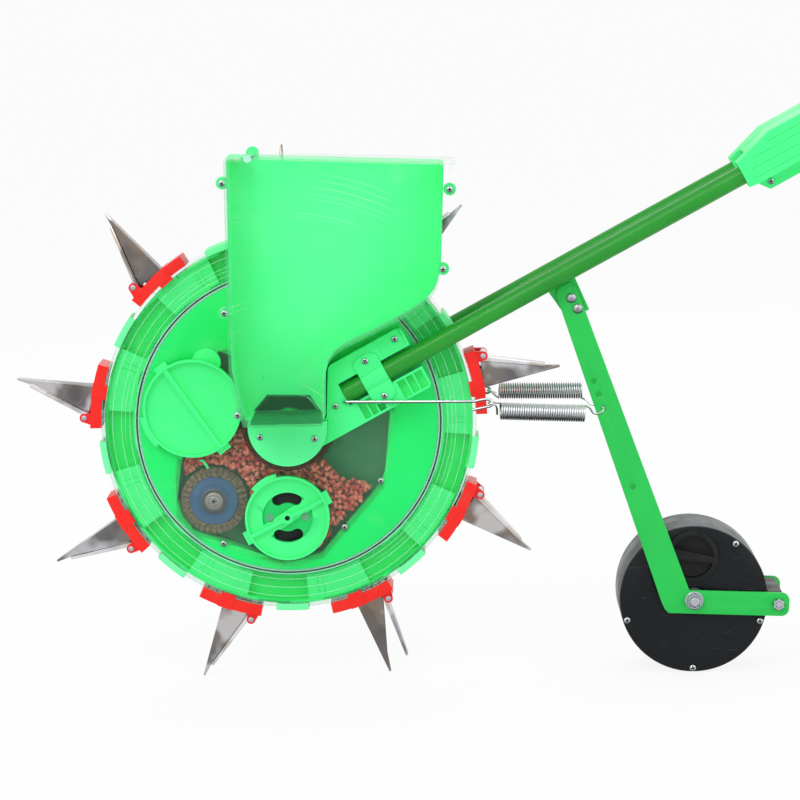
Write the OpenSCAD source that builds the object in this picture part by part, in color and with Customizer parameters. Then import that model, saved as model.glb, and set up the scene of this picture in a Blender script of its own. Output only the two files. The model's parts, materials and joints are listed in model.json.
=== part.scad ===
// Walk-behind seed planter: a drum with nine opening beaks turns on a hub that
// carries a seed chamber, a hopper, a long handle and a sprung press wheel.
// X runs along the row with the handle at +X, Y across the row, Z up.
// The origin is the middle of the footprint, on the ground.
// Frame pieces are drawn about the hub with the hopper upright, and are then
// leaned back until the press wheel meets the ground.

/* [Drum] */
// Radius from the hub to the beak tips
tip_r = 280; // [272:1:288]
// Outer radius of the rim cleats
rim_r = 193; // [192.5:0.1:194]
// Outer radius of the clear rim band
band_r = 190; // [189.6:0.1:190.2]
// Width of the drum between its side faces
drum_w = 46; // [45.5:0.1:47]
// Inner radius of the clear side ring
ring_bore_r = 152; // [151.5:0.1:153]
// Inner radius of the seed pockets
pocket_in_r = 158; // [157:0.5:160]
// Wall of the moulded drum pieces
drum_wall = 2.5; // [2:0.1:2.8]

/* [Beaks] */
// Width of a beak at its base
beak_w = 25; // [24:0.2:25.6]
// Width of a beak at its tip
beak_tip_w = 8; // [6:0.5:10]
// Sheet thickness of the jaws
jaw_t = 1.5; // [1.2:0.1:1.8]
// Radial height of the beak holders above the rim band
holder_h = 11; // [10.6:0.1:11.6]
// Angle between an open jaw and a closed one
jaw_open = 16.4; // [10:0.1:18]
// Radius of a hinge pin
pin_r = 2; // [1.8:0.05:2.2]

/* [Seed chamber] */
// Depth of the seed chamber
chamber_d = 21; // [20:0.5:21.5]
// Wall of the chamber pan
pan_t = 2.5; // [2:0.1:2.8]
// Thickness of the clear window
window_t = 1.8; // [1.5:0.1:1.9]
// Distance from the hub to the metering roller
metering_d = 96.25; // [96.25]
// Radius of the metering cap
metering_cap_r = 43; // [41:0.5:44]
// Radius over the tips of the brush bristles
brush_r = 34; // [32:0.5:35]
// Radius of the blue brush disc
brush_disc_r = 24.7; // [23:0.1:26]
// Radius of the access cap
access_r = 49.8; // [48:0.2:51]
// Height of a cap above the window
cap_h = 9; // [7:0.5:12]

/* [Hub] */
// Radius of the axle bolt
bolt_r = 8; // [7:0.5:9]
// Radius of the fixed hub sleeve
sleeve_r = 14; // [13:0.5:15]
// Radius of the half-moon hub cap
hub_cap_r = 40; // [39:0.2:40.2]

/* [Hopper] */
// Height of the hopper's top edge above the hub
hopper_top = 270.5; // [250:1:300]
// Width of the hopper at its top
hopper_w = 215; // [200:1:230]
// Depth of the hopper
hopper_d = 91.5; // [80:0.5:110]
// Wall of the hopper
hopper_wall = 2.2; // [2:0.1:2.6]

/* [Handle] */
// Angle of the handle above the hopper's base line
handle_angle = 30.5; // [30:0.1:31]
// Outer radius of the handle tubes
tube_r = 9.5; // [9:0.1:9.6]
// Wall of the handle tubes
tube_wall = 1.5; // [1.2:0.1:2]
// Spacing of the two tubes, centre to centre
tube_gap = 77; // [76.6:0.2:80]
// Length of the lower tubes
lower_tube = 545; // [500:5:600]
// Distance from the hub to the cross part of the handlebar
handle_len = 1200; // [1050:10:1300]
// Width over the grips
handle_w = 420; // [380:5:460]
// Length of a grip
grip_len = 112; // [95:1:120]

/* [Press wheel] */
// Radius of the press wheel
wheel_r = 75; // [70:0.5:78]
// Width of the press wheel
wheel_w = 82; // [76:1:86]
// Radius of the wheel axle
axle_r = 5; // [4:0.5:6]
// Width of the strut bars at the pivot
bar_w = 22; // [20:0.5:24]
// Thickness of the strut bars
bar_t = 3; // [2.5:0.1:3.5]
// Radius of the accessory holes in the strut bars
accessory_r = 3.5; // [2.5:0.1:4]

/* [Springs] */
// Outer radius of the extension springs
spring_r = 8.9; // [8.5:0.05:9.6]
// Radius of the spring wire
wire_r = 1; // [0.8:0.05:1.1]
// Length of the coiled body
spring_len = 85; // [80:1:88]
// Number of curls in one spring
curls = 30; // [24:1:31]
// Radius of the spring rod wire
rod_r = 1.5; // [1.2:0.1:1.7]

/* [Bristles] */
// Number of bristle tufts round one row
tufts = 32; // [24:1:34]
// Number of strands in a tuft
strands = 3; // [2:1:3]
// Number of rows across the brush
rows = 3; // [2:1:4]

/* [Hidden] */
$fn = 96;

// Colours, as the photograph shows them
mint = [0.43, 1.0, 0.67];
drum_green = [0.08, 0.85, 0.42];
tube_green = [0.3, 0.75, 0.42];
strut_green = [0.15, 0.78, 0.33];
clear = [0.8, 0.95, 0.88];
red = [0.95, 0.15, 0.1];
steel = [0.7, 0.7, 0.72];
black = [0.1, 0.12, 0.13];
blue = [0.23, 0.43, 0.6];
tan_hair = [0.55, 0.49, 0.4];
seed_red = [0.75, 0.35, 0.3];

// Clearances
slip = 0.3;
running = 0.05;
seat = 0.2;

// Beak angles, and the stance on two tips and the press wheel
beak_count = 9;
beak_step = 360 / beak_count;
function beak_angle(i) = -90 + beak_step * (i + 0.5);
ground_drop = tip_r * cos(beak_step / 2);
pivot = along(310.8, -27.3);
strut_len = 329.4;
strut_lean = -66.2;
strut_e = [cos(strut_lean), sin(strut_lean)];
strut_n = [-strut_e[1], strut_e[0]];
axle = pivot + strut_len * strut_e;
axle_reach = norm(axle);
stance_tilt = asin((ground_drop - wheel_r) / axle_reach) + atan2(axle[1], axle[0]);

// Across the machine, from the camera side at -Y
face_y = drum_w / 2;
pan_front = -face_y - 1.5;
pan_back = pan_front + pan_t + chamber_d;
window_front = pan_front - window_t;
floor_back = -face_y - 3.5;
floor_t = 2.3;
floor_front = floor_back - floor_t;
tube_y = tube_gap / 2;
disc_y = face_y - 6;

// Radii of the drum
pocket_out_r = band_r - 3.7;
holder_r = band_r + holder_h;
pan_r = ring_bore_r - 1.2;
hinge_r = holder_r + 6.8;
hinge = [hinge_r * cos(7.5), hinge_r * sin(7.5)];
jaw_base = band_r + 3.3;

// Gears
gear_m = 2.5;
ring_teeth = 104;
metering_teeth = 27;
brush_teeth = 15;
gear_y = pan_back + pan_t + 2.5;
gear_w = 6;
ring_r = ring_teeth * gear_m / 2;
brush_d = ring_r - brush_teeth * gear_m / 2;
metering_a = -89.4;
brush_a = -132;
metering = metering_d * [cos(metering_a), sin(metering_a)];
brush = brush_d * [cos(brush_a), sin(brush_a)];
access = [-97.3, 13.2];
vent = [-84.5, 59];
shaft_r = 5;

// Hopper
hopper_back = floor_back - seat;
hopper_front = hopper_back - hopper_d;
hopper_split = hopper_back - hopper_d * 0.48;
hopper_left = -65.6;
hopper_right = hopper_left + hopper_w;
cap_top = 6.5;
lid_hinge = [-42, hopper_top + 1.5];

// Handle
coupling_u = 519;
coupling_len = 182;
tube_start = 65;
bend_r = 42;
eye = [200.2, 26.9];
rod_y = tube_y + tube_r + rod_r + 0.2;

// Reach of the machine from the hub to each side, which centres the origin
left_reach = tip_r * cos(beak_angle(6) - 180) + 0.1;
grip_r = 14.5;
right_reach = handle_len * cos(handle_angle - stance_tilt) + grip_r;
hub_x = (left_reach - right_reach) / 2;
hub_z = ground_drop;

// Placing
function along(u, v = 0) = [u * cos(handle_angle) - v * sin(handle_angle),
    u * sin(handle_angle) + v * cos(handle_angle)];
function strut_at(s, t) = pivot + s * strut_e + t * strut_n;
function ring_point(r, a) = r * [cos(a), sin(a)];

module on_drum() translate([hub_x, 0, hub_z]) children();
module on_frame() on_drum() rotate([0, stance_tilt, 0]) children();
module on_handle() on_frame() rotate([0, -handle_angle, 0]) children();
module at_beak(i) on_drum() rotate([0, -beak_angle(i), 0]) children();
module each_beak() for (i = [0 : beak_count - 1]) at_beak(i) children();
module both_sides() {
    children();
    mirror([0, 1, 0]) children();
}

// A round bar along Y, a plate in the XZ plane, and a bar along X
module rod(p, r, y0, y1) translate([p[0], y0, p[1]]) rotate([-90, 0, 0]) cylinder(r = r, h = y1 - y0);
module slab(y0, y1) translate([0, y1, 0]) rotate([90, 0, 0]) linear_extrude(y1 - y0) children();
module run(x0, x1) translate([x0, 0, 0]) rotate([90, 0, 90]) linear_extrude(x1 - x0) children();
module tube_path(u0, u1, r) translate([u0, -tube_y, 0]) rotate([0, 90, 0]) cylinder(r = r, h = u1 - u0);
module spun(p) translate([p[0], 0, p[1]]) rotate([-90, 0, 0]) rotate_extrude() children();

// Flat shapes
module at(p) translate(p) children();
module ring(r0, r1) difference() {
    circle(r1);
    circle(r0);
}
module sector(r0, r1, a0, a1) intersection() {
    ring(r0, r1);
    polygon([[0, 0], ring_point(2 * r1, a0), ring_point(2 * r1, (a0 + a1) / 2), ring_point(2 * r1, a1)]);
}

// A closed outline moved outward by g, with mitred corners
function edge_out(p, q) = let (d = q - p) [d[1], -d[0]] / norm(d);
function corner(p, q, r, g) = let (n = edge_out(p, q), m = edge_out(q, r)) q + g * (n + m) / (1 + n * m);
function grown(pts, g) = let (n = len(pts))
    [for (i = [0 : n - 1]) corner(pts[(i + n - 1) % n], pts[i], pts[(i + 1) % n], g)];

// A closed outline with each corner cut by a small arc
function fillet_at(p, q, r, f) = let (n = edge_out(p, q), m = edge_out(q, r), turn = n[0] * m[1] - n[1] * m[0],
        s = turn > 0 ? 1 : -1, c = q - s * f * (n + m) / (1 + n * m), a0 = atan2(s * n[1], s * n[0]),
        da = asin(max(-1, min(1, turn))))
    [for (k = [0 : 4]) c + f * [cos(a0 + da * k / 4), sin(a0 + da * k / 4)]];
function rounded(pts, f) = let (n = len(pts))
    [for (i = [0 : n - 1]) each fillet_at(pts[(i + n - 1) % n], pts[i], pts[(i + 1) % n], f)];

// Gear outline whose teeth point outward (side = 1) or inward (side = -1)
function gear_points(n, side) = let (r = n * gear_m / 2, half = 0.2 * 360 / n, lean = tan(20) * 180 / (PI * r))
    [for (k = [0 : n - 1], c = [[-1, -1], [-1, 1], [1, 1], [1, -1]])
        let (dr = c[1] > 0 ? 0.7 * gear_m : -1.1 * gear_m, a = 360 * k / n + c[0] * (half - lean * dr))
        (r + side * dr) * [cos(a), sin(a)]];

// Turn of a pinion whose centre lies at angle a of the frame, in mesh at rest
function mesh_turn(a, teeth) = let (g = a - stance_tilt, part = g * ring_teeth / 360)
    a - (part - floor(part) - 0.5) * 360 / teeth;

// Hub
module hub_sleeve() color(drum_green) on_frame() difference() {
    rod([0, 0], sleeve_r, floor_back, -floor_back);
    rod([0, 0], bolt_r + running, floor_back - 1, -floor_back + 1);
}

// The near end is held by a countersunk screw, flush under the hub cap
nut_h = bolt_r * 1.6;
washer_r = bolt_r * 2;
sink_r = 5.3;
module sunk_neck(g) spun([0, 0]) polygon([[0, floor_front - g], [sink_r + g, floor_front - g],
    [sink_r - 2.2 + g, floor_back + g], [0, floor_back + g]]);
module axle_bolt() color(steel) on_frame() {
    rod([0, 0], bolt_r, floor_back, -floor_front + nut_h + 5);
    sunk_neck(0);
    mirror([0, 1, 0]) difference() {
        union() {
            rod([0, 0], washer_r, floor_front - 2, floor_front);
            translate([0, floor_front - 2, 0]) rotate([90, 0, 0])
                cylinder(r = bolt_r * 1.73, h = nut_h - 2, $fn = 6);
        }
        rod([0, 0], bolt_r, floor_front - nut_h - 4, floor_front + 1);
    }
}

hub_cap_front = floor_front - 26;
hub_screw = [27.5, -11];
module half_moon(r, top) intersection() {
    circle(r);
    translate([-r, -r]) square([2 * r, r + top]);
}
module hub_cap() color(mint) on_frame() difference() {
    slab(hub_cap_front, floor_front) half_moon(hub_cap_r, cap_top);
    slab(hub_cap_front + 2.5, floor_front + 1) difference() {
        half_moon(hub_cap_r - 2.5, cap_top - 2.5);
        for (s = [-1, 1]) at([s * hub_screw[0], hub_screw[1]]) circle(5);
    }
}

// Seed chamber
compartment = [[-72.5, 71.4], [-108.8, -46.9], [-112, -83], [-95, -114], [-5, -141.5], [36, -133],
    [93.8, -61.1], [98.5, -47.7], [102, 13.7]];
module compartment_2d(g) {
    polygon(grown(compartment, g));
    at(metering) circle(metering_cap_r + 3 + g);
    at(brush) circle(brush_r + 1.5 + g);
}
hub_port_r = hub_cap_r + 5;
cap_spigot_r = metering_cap_r - 6;
access_spigot_r = access_r - 6;
wall_line = 2.2;

module chamber_pan() color(drum_green) on_frame() difference() {
    union() {
        slab(pan_back, pan_back + pan_t) circle(pan_r);
        slab(pan_front, pan_back + pan_t) ring(pan_r - pan_t, pan_r);
        slab(pan_front, pan_front + pan_t) circle(pan_r);
        slab(pan_front, pan_back) intersection() {
            compartment_2d(wall_line);
            circle(pan_r);
        }
        for (p = [metering, brush]) rod(p, shaft_r + 3, pan_back, gear_y - slip);
    }
    slab(pan_front - 1, pan_back) intersection() {
        compartment_2d(0);
        circle(pan_r - pan_t);
    }
    slab(pan_front - 1, pan_front + pan_t + 1) at(access) circle(access_spigot_r + slip);
    rod([0, 0], sleeve_r, pan_back - 1, pan_back + pan_t + 1);
    for (p = [metering, brush]) rod(p, shaft_r + running, pan_back - 1, gear_y);
    translate([-14, pan_front + 8, -pan_r - 3]) cube([28, 12, 16]);
}

module chamber_window() color(clear) on_frame() difference() {
    slab(window_front, pan_front) difference() {
        intersection() {
            compartment_2d(5);
            circle(pan_r - 0.5);
        }
        circle(hub_port_r);
        at(metering) circle(cap_spigot_r + slip);
        at(access) circle(access_spigot_r + slip);
        at(vent) circle(vent_r + seat);
    }
    for (p = window_screws) rod(p, 1.7, window_front - 1, pan_front + 1);
}
window_screws = [[-63.5, -125.2], [94.5, -56.5], [59, -105]];

module hub_ring() color(black) on_frame() slab(window_front, pan_front) ring(hub_port_r - 4, hub_port_r - seat);

vent_r = 14.8;
module vent_plug() color(mint) on_frame() slab(window_front, pan_front) difference() {
    at(vent) circle(vent_r);
    at(access) circle(access_spigot_r + slip);
}

heap = [[-108, -14], [-106, -60], [-60, -64], [-44, -72], [-36, -124], [34, -128], [90, -62], [78, -58],
    [52, -55], [34, -34], [20, -40], [-22, -36], [-44, -10], [-60, 8]];
module seed_charge() color(seed_red) on_frame() difference() {
    slab(pan_front + 0.5, pan_back - seat) difference() {
        intersection() {
            polygon(heap);
            polygon(grown(compartment, -slip));
        }
        at(metering) circle(cap_spigot_r + 1);
        at(brush) circle(brush_r + 0.8);
        circle(sleeve_r + 1);
    }
    rod(access, access_spigot_r + 0.8, pan_front - 1, pan_front + pan_t + 0.4);
}

// Metering roller and brush
module metering_roller() color(black) on_frame() difference() {
    union() {
        rod(metering, cap_spigot_r - 2, pan_front + pan_t + slip, pan_back - 0.5);
        rod(metering, shaft_r, pan_back - 1, gear_y + gear_w);
        rod(metering, 2.6, pan_front - cap_h + 2, pan_front + 3);
    }
    for (k = [0 : 11]) rod(metering + ring_point(cap_spigot_r - 2, 30 * k), 4.5, pan_front + 6, pan_back - 5);
}
module pinion(p, a, teeth) translate([p[0], 0, p[1]]) rotate([0, -mesh_turn(a, teeth), 0])
    slab(gear_y, gear_y + gear_w) difference() {
        polygon(gear_points(teeth, 1));
        circle(shaft_r);
    }
module metering_pinion() color(mint) on_frame() pinion(metering, metering_a, metering_teeth);

brush_y = pan_front + 5.5;
brush_w = 13;
core_r = brush_disc_r - 1;
module brush_disc() color(blue) on_frame() difference() {
    rod(brush, brush_disc_r, brush_y - 2.5, brush_y - 0.2);
    rod(brush, shaft_r, brush_y - 4, brush_y + 1);
}
module brush_shaft() color(steel) on_frame() {
    rod(brush, shaft_r, pan_front + 0.6, gear_y + gear_w);
    difference() {
        rod(brush, 13, brush_y - 3.7, brush_y - 2.5);
        rod(brush, shaft_r, brush_y - 6, brush_y);
    }
    pinion(brush, brush_a, brush_teeth);
}
strand_a = 360 / tufts / (strands + 0.6);
strand_half = 0.28;
row_gap = brush_w / rows;
function strand_points(r0, r1, a, w) = let (d = [cos(a), sin(a)], n = [-sin(a), cos(a)])
    [r0 * d - w * n, r1 * d - w * n, r1 * d + w * n, r0 * d + w * n];
module brush_bristles() color(tan_hair) on_frame() translate([brush[0], 0, brush[1]]) {
    difference() {
        union() {
            slab(brush_y, brush_y + brush_w) circle(core_r);
            for (row = [0 : rows - 1]) slab(brush_y + (row + 0.5) * row_gap - 0.4, brush_y + (row + 0.5) * row_gap + 0.4)
                polygon([for (k = [0 : tufts - 1], s = [0 : strands - 1])
                    each strand_points(core_r - 0.5, brush_r - 0.5 * (s % 2),
                        360 * k / tufts + (s - (strands - 1) / 2) * strand_a, strand_half)]);
        }
        rod([0, 0], shaft_r, brush_y - 1, brush_y + brush_w + 1);
    }
}

// Caps of the chamber: a dished cover with a rib, two ears and a ramp
module cap_body(p, r, spigot, back) {
    difference() {
        rod(p, r, back - cap_h, back);
        rod(p, r - 2.5, back - cap_h - 1, back - 3);
    }
    rod(p, spigot, back - 1, pan_front + pan_t);
}
module cap_rib(p, r, a, w, back) intersection() {
    translate([p[0], 0, p[1]]) rotate([0, -a, 0]) translate([-r, back - cap_h + 1, -w / 2]) cube([2 * r, cap_h - 2, w]);
    rod(p, r - 1, back - cap_h, back);
}
module cap_ears(p, r, a, back) for (s = [0, 180])
    translate([p[0], 0, p[1]]) rotate([0, -a - s, 0]) translate([r - 2, back - 5, -7]) cube([7, 4.7, 14]);
module cap_ramp(p, r, a, back) translate([p[0], 0, p[1]])
    slab(back - cap_h + 1, back - 1) intersection() {
        difference() {
            at(ring_point(5.5, a)) circle(r - 1.5);
            circle(r - 1);
        }
        polygon([[0, 0], ring_point(2 * r, a - 22), ring_point(2 * r, a), ring_point(2 * r, a + 14)]);
    }

slot_r = 20;
slot_half = 5.6;
module metering_cap() color(mint) on_frame() difference() {
    union() {
        cap_body(metering, metering_cap_r, cap_spigot_r, window_front - seat);
        cap_rib(metering, metering_cap_r, 29, 4, window_front - seat);
        cap_ears(metering, metering_cap_r, 29, window_front - seat);
        cap_ramp(metering, metering_cap_r, 128, window_front - seat);
        rod(metering, 6, window_front - cap_h + 1, window_front - 2);
    }
    rod(metering, 2.65, window_front - cap_h - 1, pan_front + pan_t + 1);
    translate([metering[0], 0, metering[1]]) for (s = [0, 180]) rotate([0, s, 0]) {
        slab(window_front - cap_h, pan_front + pan_t + 1) {
            sector(slot_r - slot_half, slot_r + slot_half, 66, 122);
            for (a = [66, 122]) at(ring_point(slot_r, a)) circle(slot_half);
        }
        rod([18, 1], 4.5, window_front - cap_h, pan_front + pan_t + 1);
    }
}

module access_cap() color(mint) on_frame() {
    cap_body(access, access_r, access_spigot_r, window_front - seat);
    cap_rib(access, access_r, -53, 5, window_front - seat);
    cap_ears(access, access_r, 129, window_front - seat);
    cap_ramp(access, access_r, 214, window_front - seat);
}

// Hopper
hopper_line = [[-41, cap_top + 0.7], [38, cap_top + 4.5], [37.2, 56], [40.4, 71], [46.2, 80], [55, 87.2],
    [82.3, 101.3], [103, 113], [hopper_right - 29.4, 123], [hopper_right - 17.4, 131.5],
    [hopper_right - 9.6, 139.5], [hopper_right - 4.2, 148.5], [hopper_right - 1.2, 160.5],
    [hopper_right, 173], [hopper_right, hopper_top], [hopper_left, hopper_top],
    [hopper_left + 5.6, 133], [hopper_left + 9.6, 58], [hopper_left + 16.6, 30]];
hopper_edge = rounded(hopper_line, 3);
hopper_room = rounded(grown(hopper_line, -hopper_wall), 1.5);
mouth = [[hopper_left + hopper_wall, hopper_top - 20], [hopper_right - hopper_wall, hopper_top - 20],
    [hopper_right - hopper_wall, hopper_top + 5], [hopper_left + hopper_wall, hopper_top + 5]];
fixed_top = lid_hinge[0] - 7.5;
outlet = [[-34, cap_top + 5.5], [30, cap_top + 7.5], [18, cap_top + 21.5], [-22, cap_top + 20.5]];
hopper_ears = [[hopper_left - 3.4, hopper_top - 26.5], [hopper_right + 6.5, hopper_top - 26.5],
    [hopper_right + 2, 165], [hopper_left + 1.3, 115.4], [-49, 13.6]];
ear_r = 6.2;

module hopper_half(y0, y1, in0, in1) difference() {
    union() {
        slab(y0, y1) polygon(hopper_edge);
    }
    slab(in0, in1) polygon(hopper_room);
    slab(in0, in1) polygon(mouth);
}
module hopper_top_strip(y0, y1) translate([hopper_left + 1, y0, hopper_top - hopper_wall])
    cube([fixed_top - hopper_left - 1, y1 - y0, hopper_wall]);
module lid_boss(y0, y1, p0, p1) {
    difference() {
        slab(y0, y1) union() {
            at(lid_hinge) circle(6.5);
            at([lid_hinge[0] - 6.5, hopper_top - 8]) square([13, 9.5]);
        }
    }
    rod(lid_hinge, 3, p0, p1);
}
module hopper_shell() color(mint) on_frame() {
    difference() {
        union() {
            hopper_half(hopper_split, hopper_back, hopper_split - 1, hopper_back - hopper_wall);
            for (p = hopper_ears) rod(p, ear_r, hopper_split, hopper_split + 6);
        }
        slab(hopper_back - hopper_wall - 1, hopper_back + 1) polygon(outlet);
        slab(hopper_split - 1, hopper_back - hopper_wall) polygon(hopper_room);
        for (p = hopper_ears) rod(p, 1.7, hopper_split - 1, hopper_split + 7);
    }
    hopper_top_strip(hopper_split, hopper_back - 1);
    lid_boss(hopper_back, hopper_back + 2, hopper_back - 7, hopper_back);
}
module hopper_cover() color(clear) on_frame() {
    difference() {
        union() {
            hopper_half(hopper_front, hopper_split - seat, hopper_front + hopper_wall, hopper_split + 1);
            for (p = hopper_ears) rod(p, ear_r, hopper_split - 6, hopper_split - seat);
        }
        slab(hopper_front + hopper_wall, hopper_split + 1) polygon(hopper_room);
        for (p = hopper_ears) rod(p, 1.7, hopper_split - 7, hopper_split + 1);
        rod(hopper_ears[2], 4.3, hopper_split - 8.3, hopper_split - 6);
    }
    hopper_top_strip(hopper_front + 1, hopper_split - seat);
    lid_boss(hopper_front - 2, hopper_front, hopper_front, hopper_front + 7);
}
lid_t = 2.5;
lid_gap = 0.4;
module hopper_lid() color(clear) on_frame() {
    translate([lid_hinge[0] + 4.5, hopper_front, hopper_top + lid_gap])
        cube([hopper_right + 11 - lid_hinge[0] - 4.5, hopper_d, lid_t]);
    translate([hopper_right + 5.5, hopper_front + 25, hopper_top - 9]) cube([2.2, hopper_d - 50, 10]);
    for (y0 = [hopper_front + hopper_wall + 0.5, hopper_back - hopper_wall - 4.5]) difference() {
        slab(y0, y0 + 4) {
            at(lid_hinge) circle(6);
            at([lid_hinge[0], hopper_top + lid_gap]) square([12, lid_t]);
        }
        rod(lid_hinge, 3 + running, y0 - 1, y0 + 5);
    }
}

// Handle brackets: a ribbed tray that holds the end of a tube
tray_low = -35;
tray_high = 33;
tray_len = 147;
tray = [along(0.6, tray_low), along(tray_len, tray_low), along(tray_len, tray_high), along(66, tray_high),
    [38.8, 58], [38.8, cap_top], [0, cap_top]];
rim_h = 17;
trough_v = 12.4;
pocket_deep = 9;
saddle_u = 100;
saddle_len = 26;
saddle_v = 20;
bracket_screws = [along(136.5, saddle_v + 4.8), along(51.5, -5.5)];
module tray_pocket(u0, u1) slab(floor_front - rim_h - 1, floor_front - rim_h + pocket_deep) rotate(handle_angle) difference() {
    at([u0, tray_low + drum_wall]) square([u1 - u0, -tray_low - drum_wall - trough_v - 2]);
    for (k = [1, 2]) at([u0 + (u1 - u0) * k / 3 - 0.9, tray_low]) square([1.8, -tray_low]);
}
module bracket(hub_shape_top) difference() {
    union() {
        slab(floor_front, floor_back) {
            polygon(rounded(tray, 5));
            half_moon(hub_cap_r, hub_shape_top);
        }
        slab(floor_front - rim_h, floor_front) polygon(rounded(tray, 5));
    }
    slab(floor_front - rim_h - 1, floor_front) rotate(handle_angle)
        at([tube_start - 0.4, -trough_v]) square([tray_len, 2 * trough_v]);
    slab(floor_front - rim_h - 1, floor_front - rim_h + 1.2) rotate(handle_angle)
        at([saddle_u + saddle_len / 2 + 5, trough_v + 2]) square([tray_len - saddle_u - saddle_len / 2 - 7.2, 40]);
    tray_pocket(72, 96);
    tray_pocket(117, tray_len - drum_wall);
    rotate([0, -handle_angle, 0]) tube_path(tube_start - 0.2, tray_len + 5, tube_r + running);
    slab(floor_front - rim_h - 1, floor_front) half_moon(hub_cap_r + slip, cap_top + slip);
    rod(rod_end, rod_r + running, floor_front - rim_h - 1, floor_front + 1);
}
rod_end = along(61.5, -5.5);
module bracket_near() color(mint) on_frame() difference() {
    bracket(cap_top);
    sunk_neck(running);
}
module bracket_far() color(mint) on_frame() mirror([0, 1, 0]) difference() {
    bracket(hub_cap_r);
    rod([0, 0], bolt_r + running, floor_front - 1, floor_back + 1);
}

saddle_front = floor_front - rim_h - 2.4;
saddle_line = [[saddle_u - saddle_len / 2, -26], [saddle_u + saddle_len / 2, -26],
    [saddle_u + saddle_len / 2, 26], [saddle_u - saddle_len / 2, 26]];
module saddle() intersection() {
    run(saddle_u - saddle_len / 2, saddle_u + saddle_len / 2) difference() {
        union() {
            intersection() {
                at([-tube_y, 0]) circle(tube_r + 2.6);
                at([-tube_y - 20, -20]) square([20, 40]);
            }
            for (s = [-1, 1]) at([saddle_front, s * 17 - 9]) square([2.2, 18]);
        }
        at([-tube_y, 0]) circle(tube_r + seat);
    }
    slab(-tube_y - 20, -tube_y + 1) polygon(rounded(saddle_line, 8));
}
module tube_saddles() color(mint) on_handle() both_sides() saddle();

// Cross-head screws of the fixed pieces: a head and a plain shank
module screw(p, y, r, shank) {
    rod(p, r, y - 2.2, y);
    if (shank > 0) rod(p, 1.6, y - 1, y + shank);
}
module frame_screws() color(steel) on_frame() {
    for (p = window_screws) screw(p, window_front, 2.9, 1.6);
    for (s = [-1, 1]) screw([s * hub_screw[0], hub_screw[1]], hub_cap_front, 3.2, 0);
    for (p = hopper_ears) screw(p, hopper_split - 6, 3.2, 11);
    both_sides() for (p = bracket_screws) screw(p, floor_front - rim_h + (p == bracket_screws[0] ? 1.2 : 0), 3.2, 0);
    both_sides() for (v = [-saddle_v, saddle_v]) screw(along(saddle_u, v), saddle_front, 3, 0);
    for (u = coupling_screws) screw(along(u, -23), -flange_t - seat / 2, 3.2, 2 * flange_t);
}

// Handle tubes and the coupling that joins them
upper_u = tube_start + lower_tube + 2;
module tube(u0, u1) difference() {
    tube_path(u0, u1, tube_r);
    tube_path(u0 - 1, u1 + 1, tube_r - tube_wall);
}
module handle_tube_near() color(tube_green) on_handle() tube(tube_start, tube_start + lower_tube);
module handle_tube_far() color(tube_green) on_handle() mirror([0, 1, 0]) tube(tube_start, tube_start + lower_tube);

flange_t = 2.6;
coupling_screws = [coupling_u + 24, coupling_u + 156];
coupling_line = [[0, -13], [8, -14], [170, -14], [182, -11], [182, 16], [150, 27], [42, 27], [0, 14]];
flange_line = [[6, -12], [20, -30], [160, -30], [176, -12]];
module coupling_half() difference() {
    union() {
        slab(-tube_y - tube_r - 4, -seat / 2) at([coupling_u, 0]) polygon(coupling_line);
        slab(-flange_t - seat / 2, -seat / 2) at([coupling_u, 0]) polygon(flange_line);
    }
    slab(-tube_y + tube_r + 4, -3) at([coupling_u, 0]) polygon(grown(coupling_line, -2.5));
    tube_path(coupling_u - 5, coupling_u + coupling_len + 5, tube_r + running);
    for (u = coupling_screws) rod([u, -23], 1.7, -flange_t - 1, 1);
    translate([coupling_u - 1, -tube_y + tube_r + 4, -30]) cube([14, tube_y, 60]);
}
module coupling_near() color(mint) on_handle() coupling_half();
module coupling_far() color(mint) on_handle() mirror([0, 1, 0]) coupling_half();

bend_u = handle_len - bend_r;
module elbow(r) translate([bend_u, -tube_y - bend_r, 0]) rotate_extrude(angle = 90) translate([bend_r, 0]) circle(r);
module upper_tube() difference() {
    union() {
        tube_path(upper_u, bend_u, tube_r);
        elbow(tube_r);
        rod([handle_len, 0], tube_r, -handle_w / 2 + 3, -tube_y - bend_r);
    }
    tube_path(upper_u - 1, bend_u, tube_r - tube_wall);
    elbow(tube_r - tube_wall);
    rod([handle_len, 0], tube_r - tube_wall, -handle_w / 2 + 2, -tube_y - bend_r);
}
module upper_tube_near() color(tube_green) on_handle() upper_tube();
module upper_tube_far() color(tube_green) on_handle() mirror([0, 1, 0]) upper_tube();
module grip() difference() {
    spun([handle_len, 0]) polygon([[0, -handle_w / 2], [grip_r - 4, -handle_w / 2], [grip_r - 1.5, -handle_w / 2 + 2.5],
        [grip_r - 1.5, -handle_w / 2 + grip_len - 7], [grip_r, -handle_w / 2 + grip_len - 5.5],
        [grip_r, -handle_w / 2 + grip_len - 1.5], [grip_r - 1.5, -handle_w / 2 + grip_len],
        [0, -handle_w / 2 + grip_len]]);
    rod([handle_len, 0], tube_r + running, -handle_w / 2 + 2.9, -handle_w / 2 + grip_len + 1);
}

module grip_near() color(black) on_handle() grip();
module grip_far() color(black) on_handle() mirror([0, 1, 0]) grip();

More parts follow.
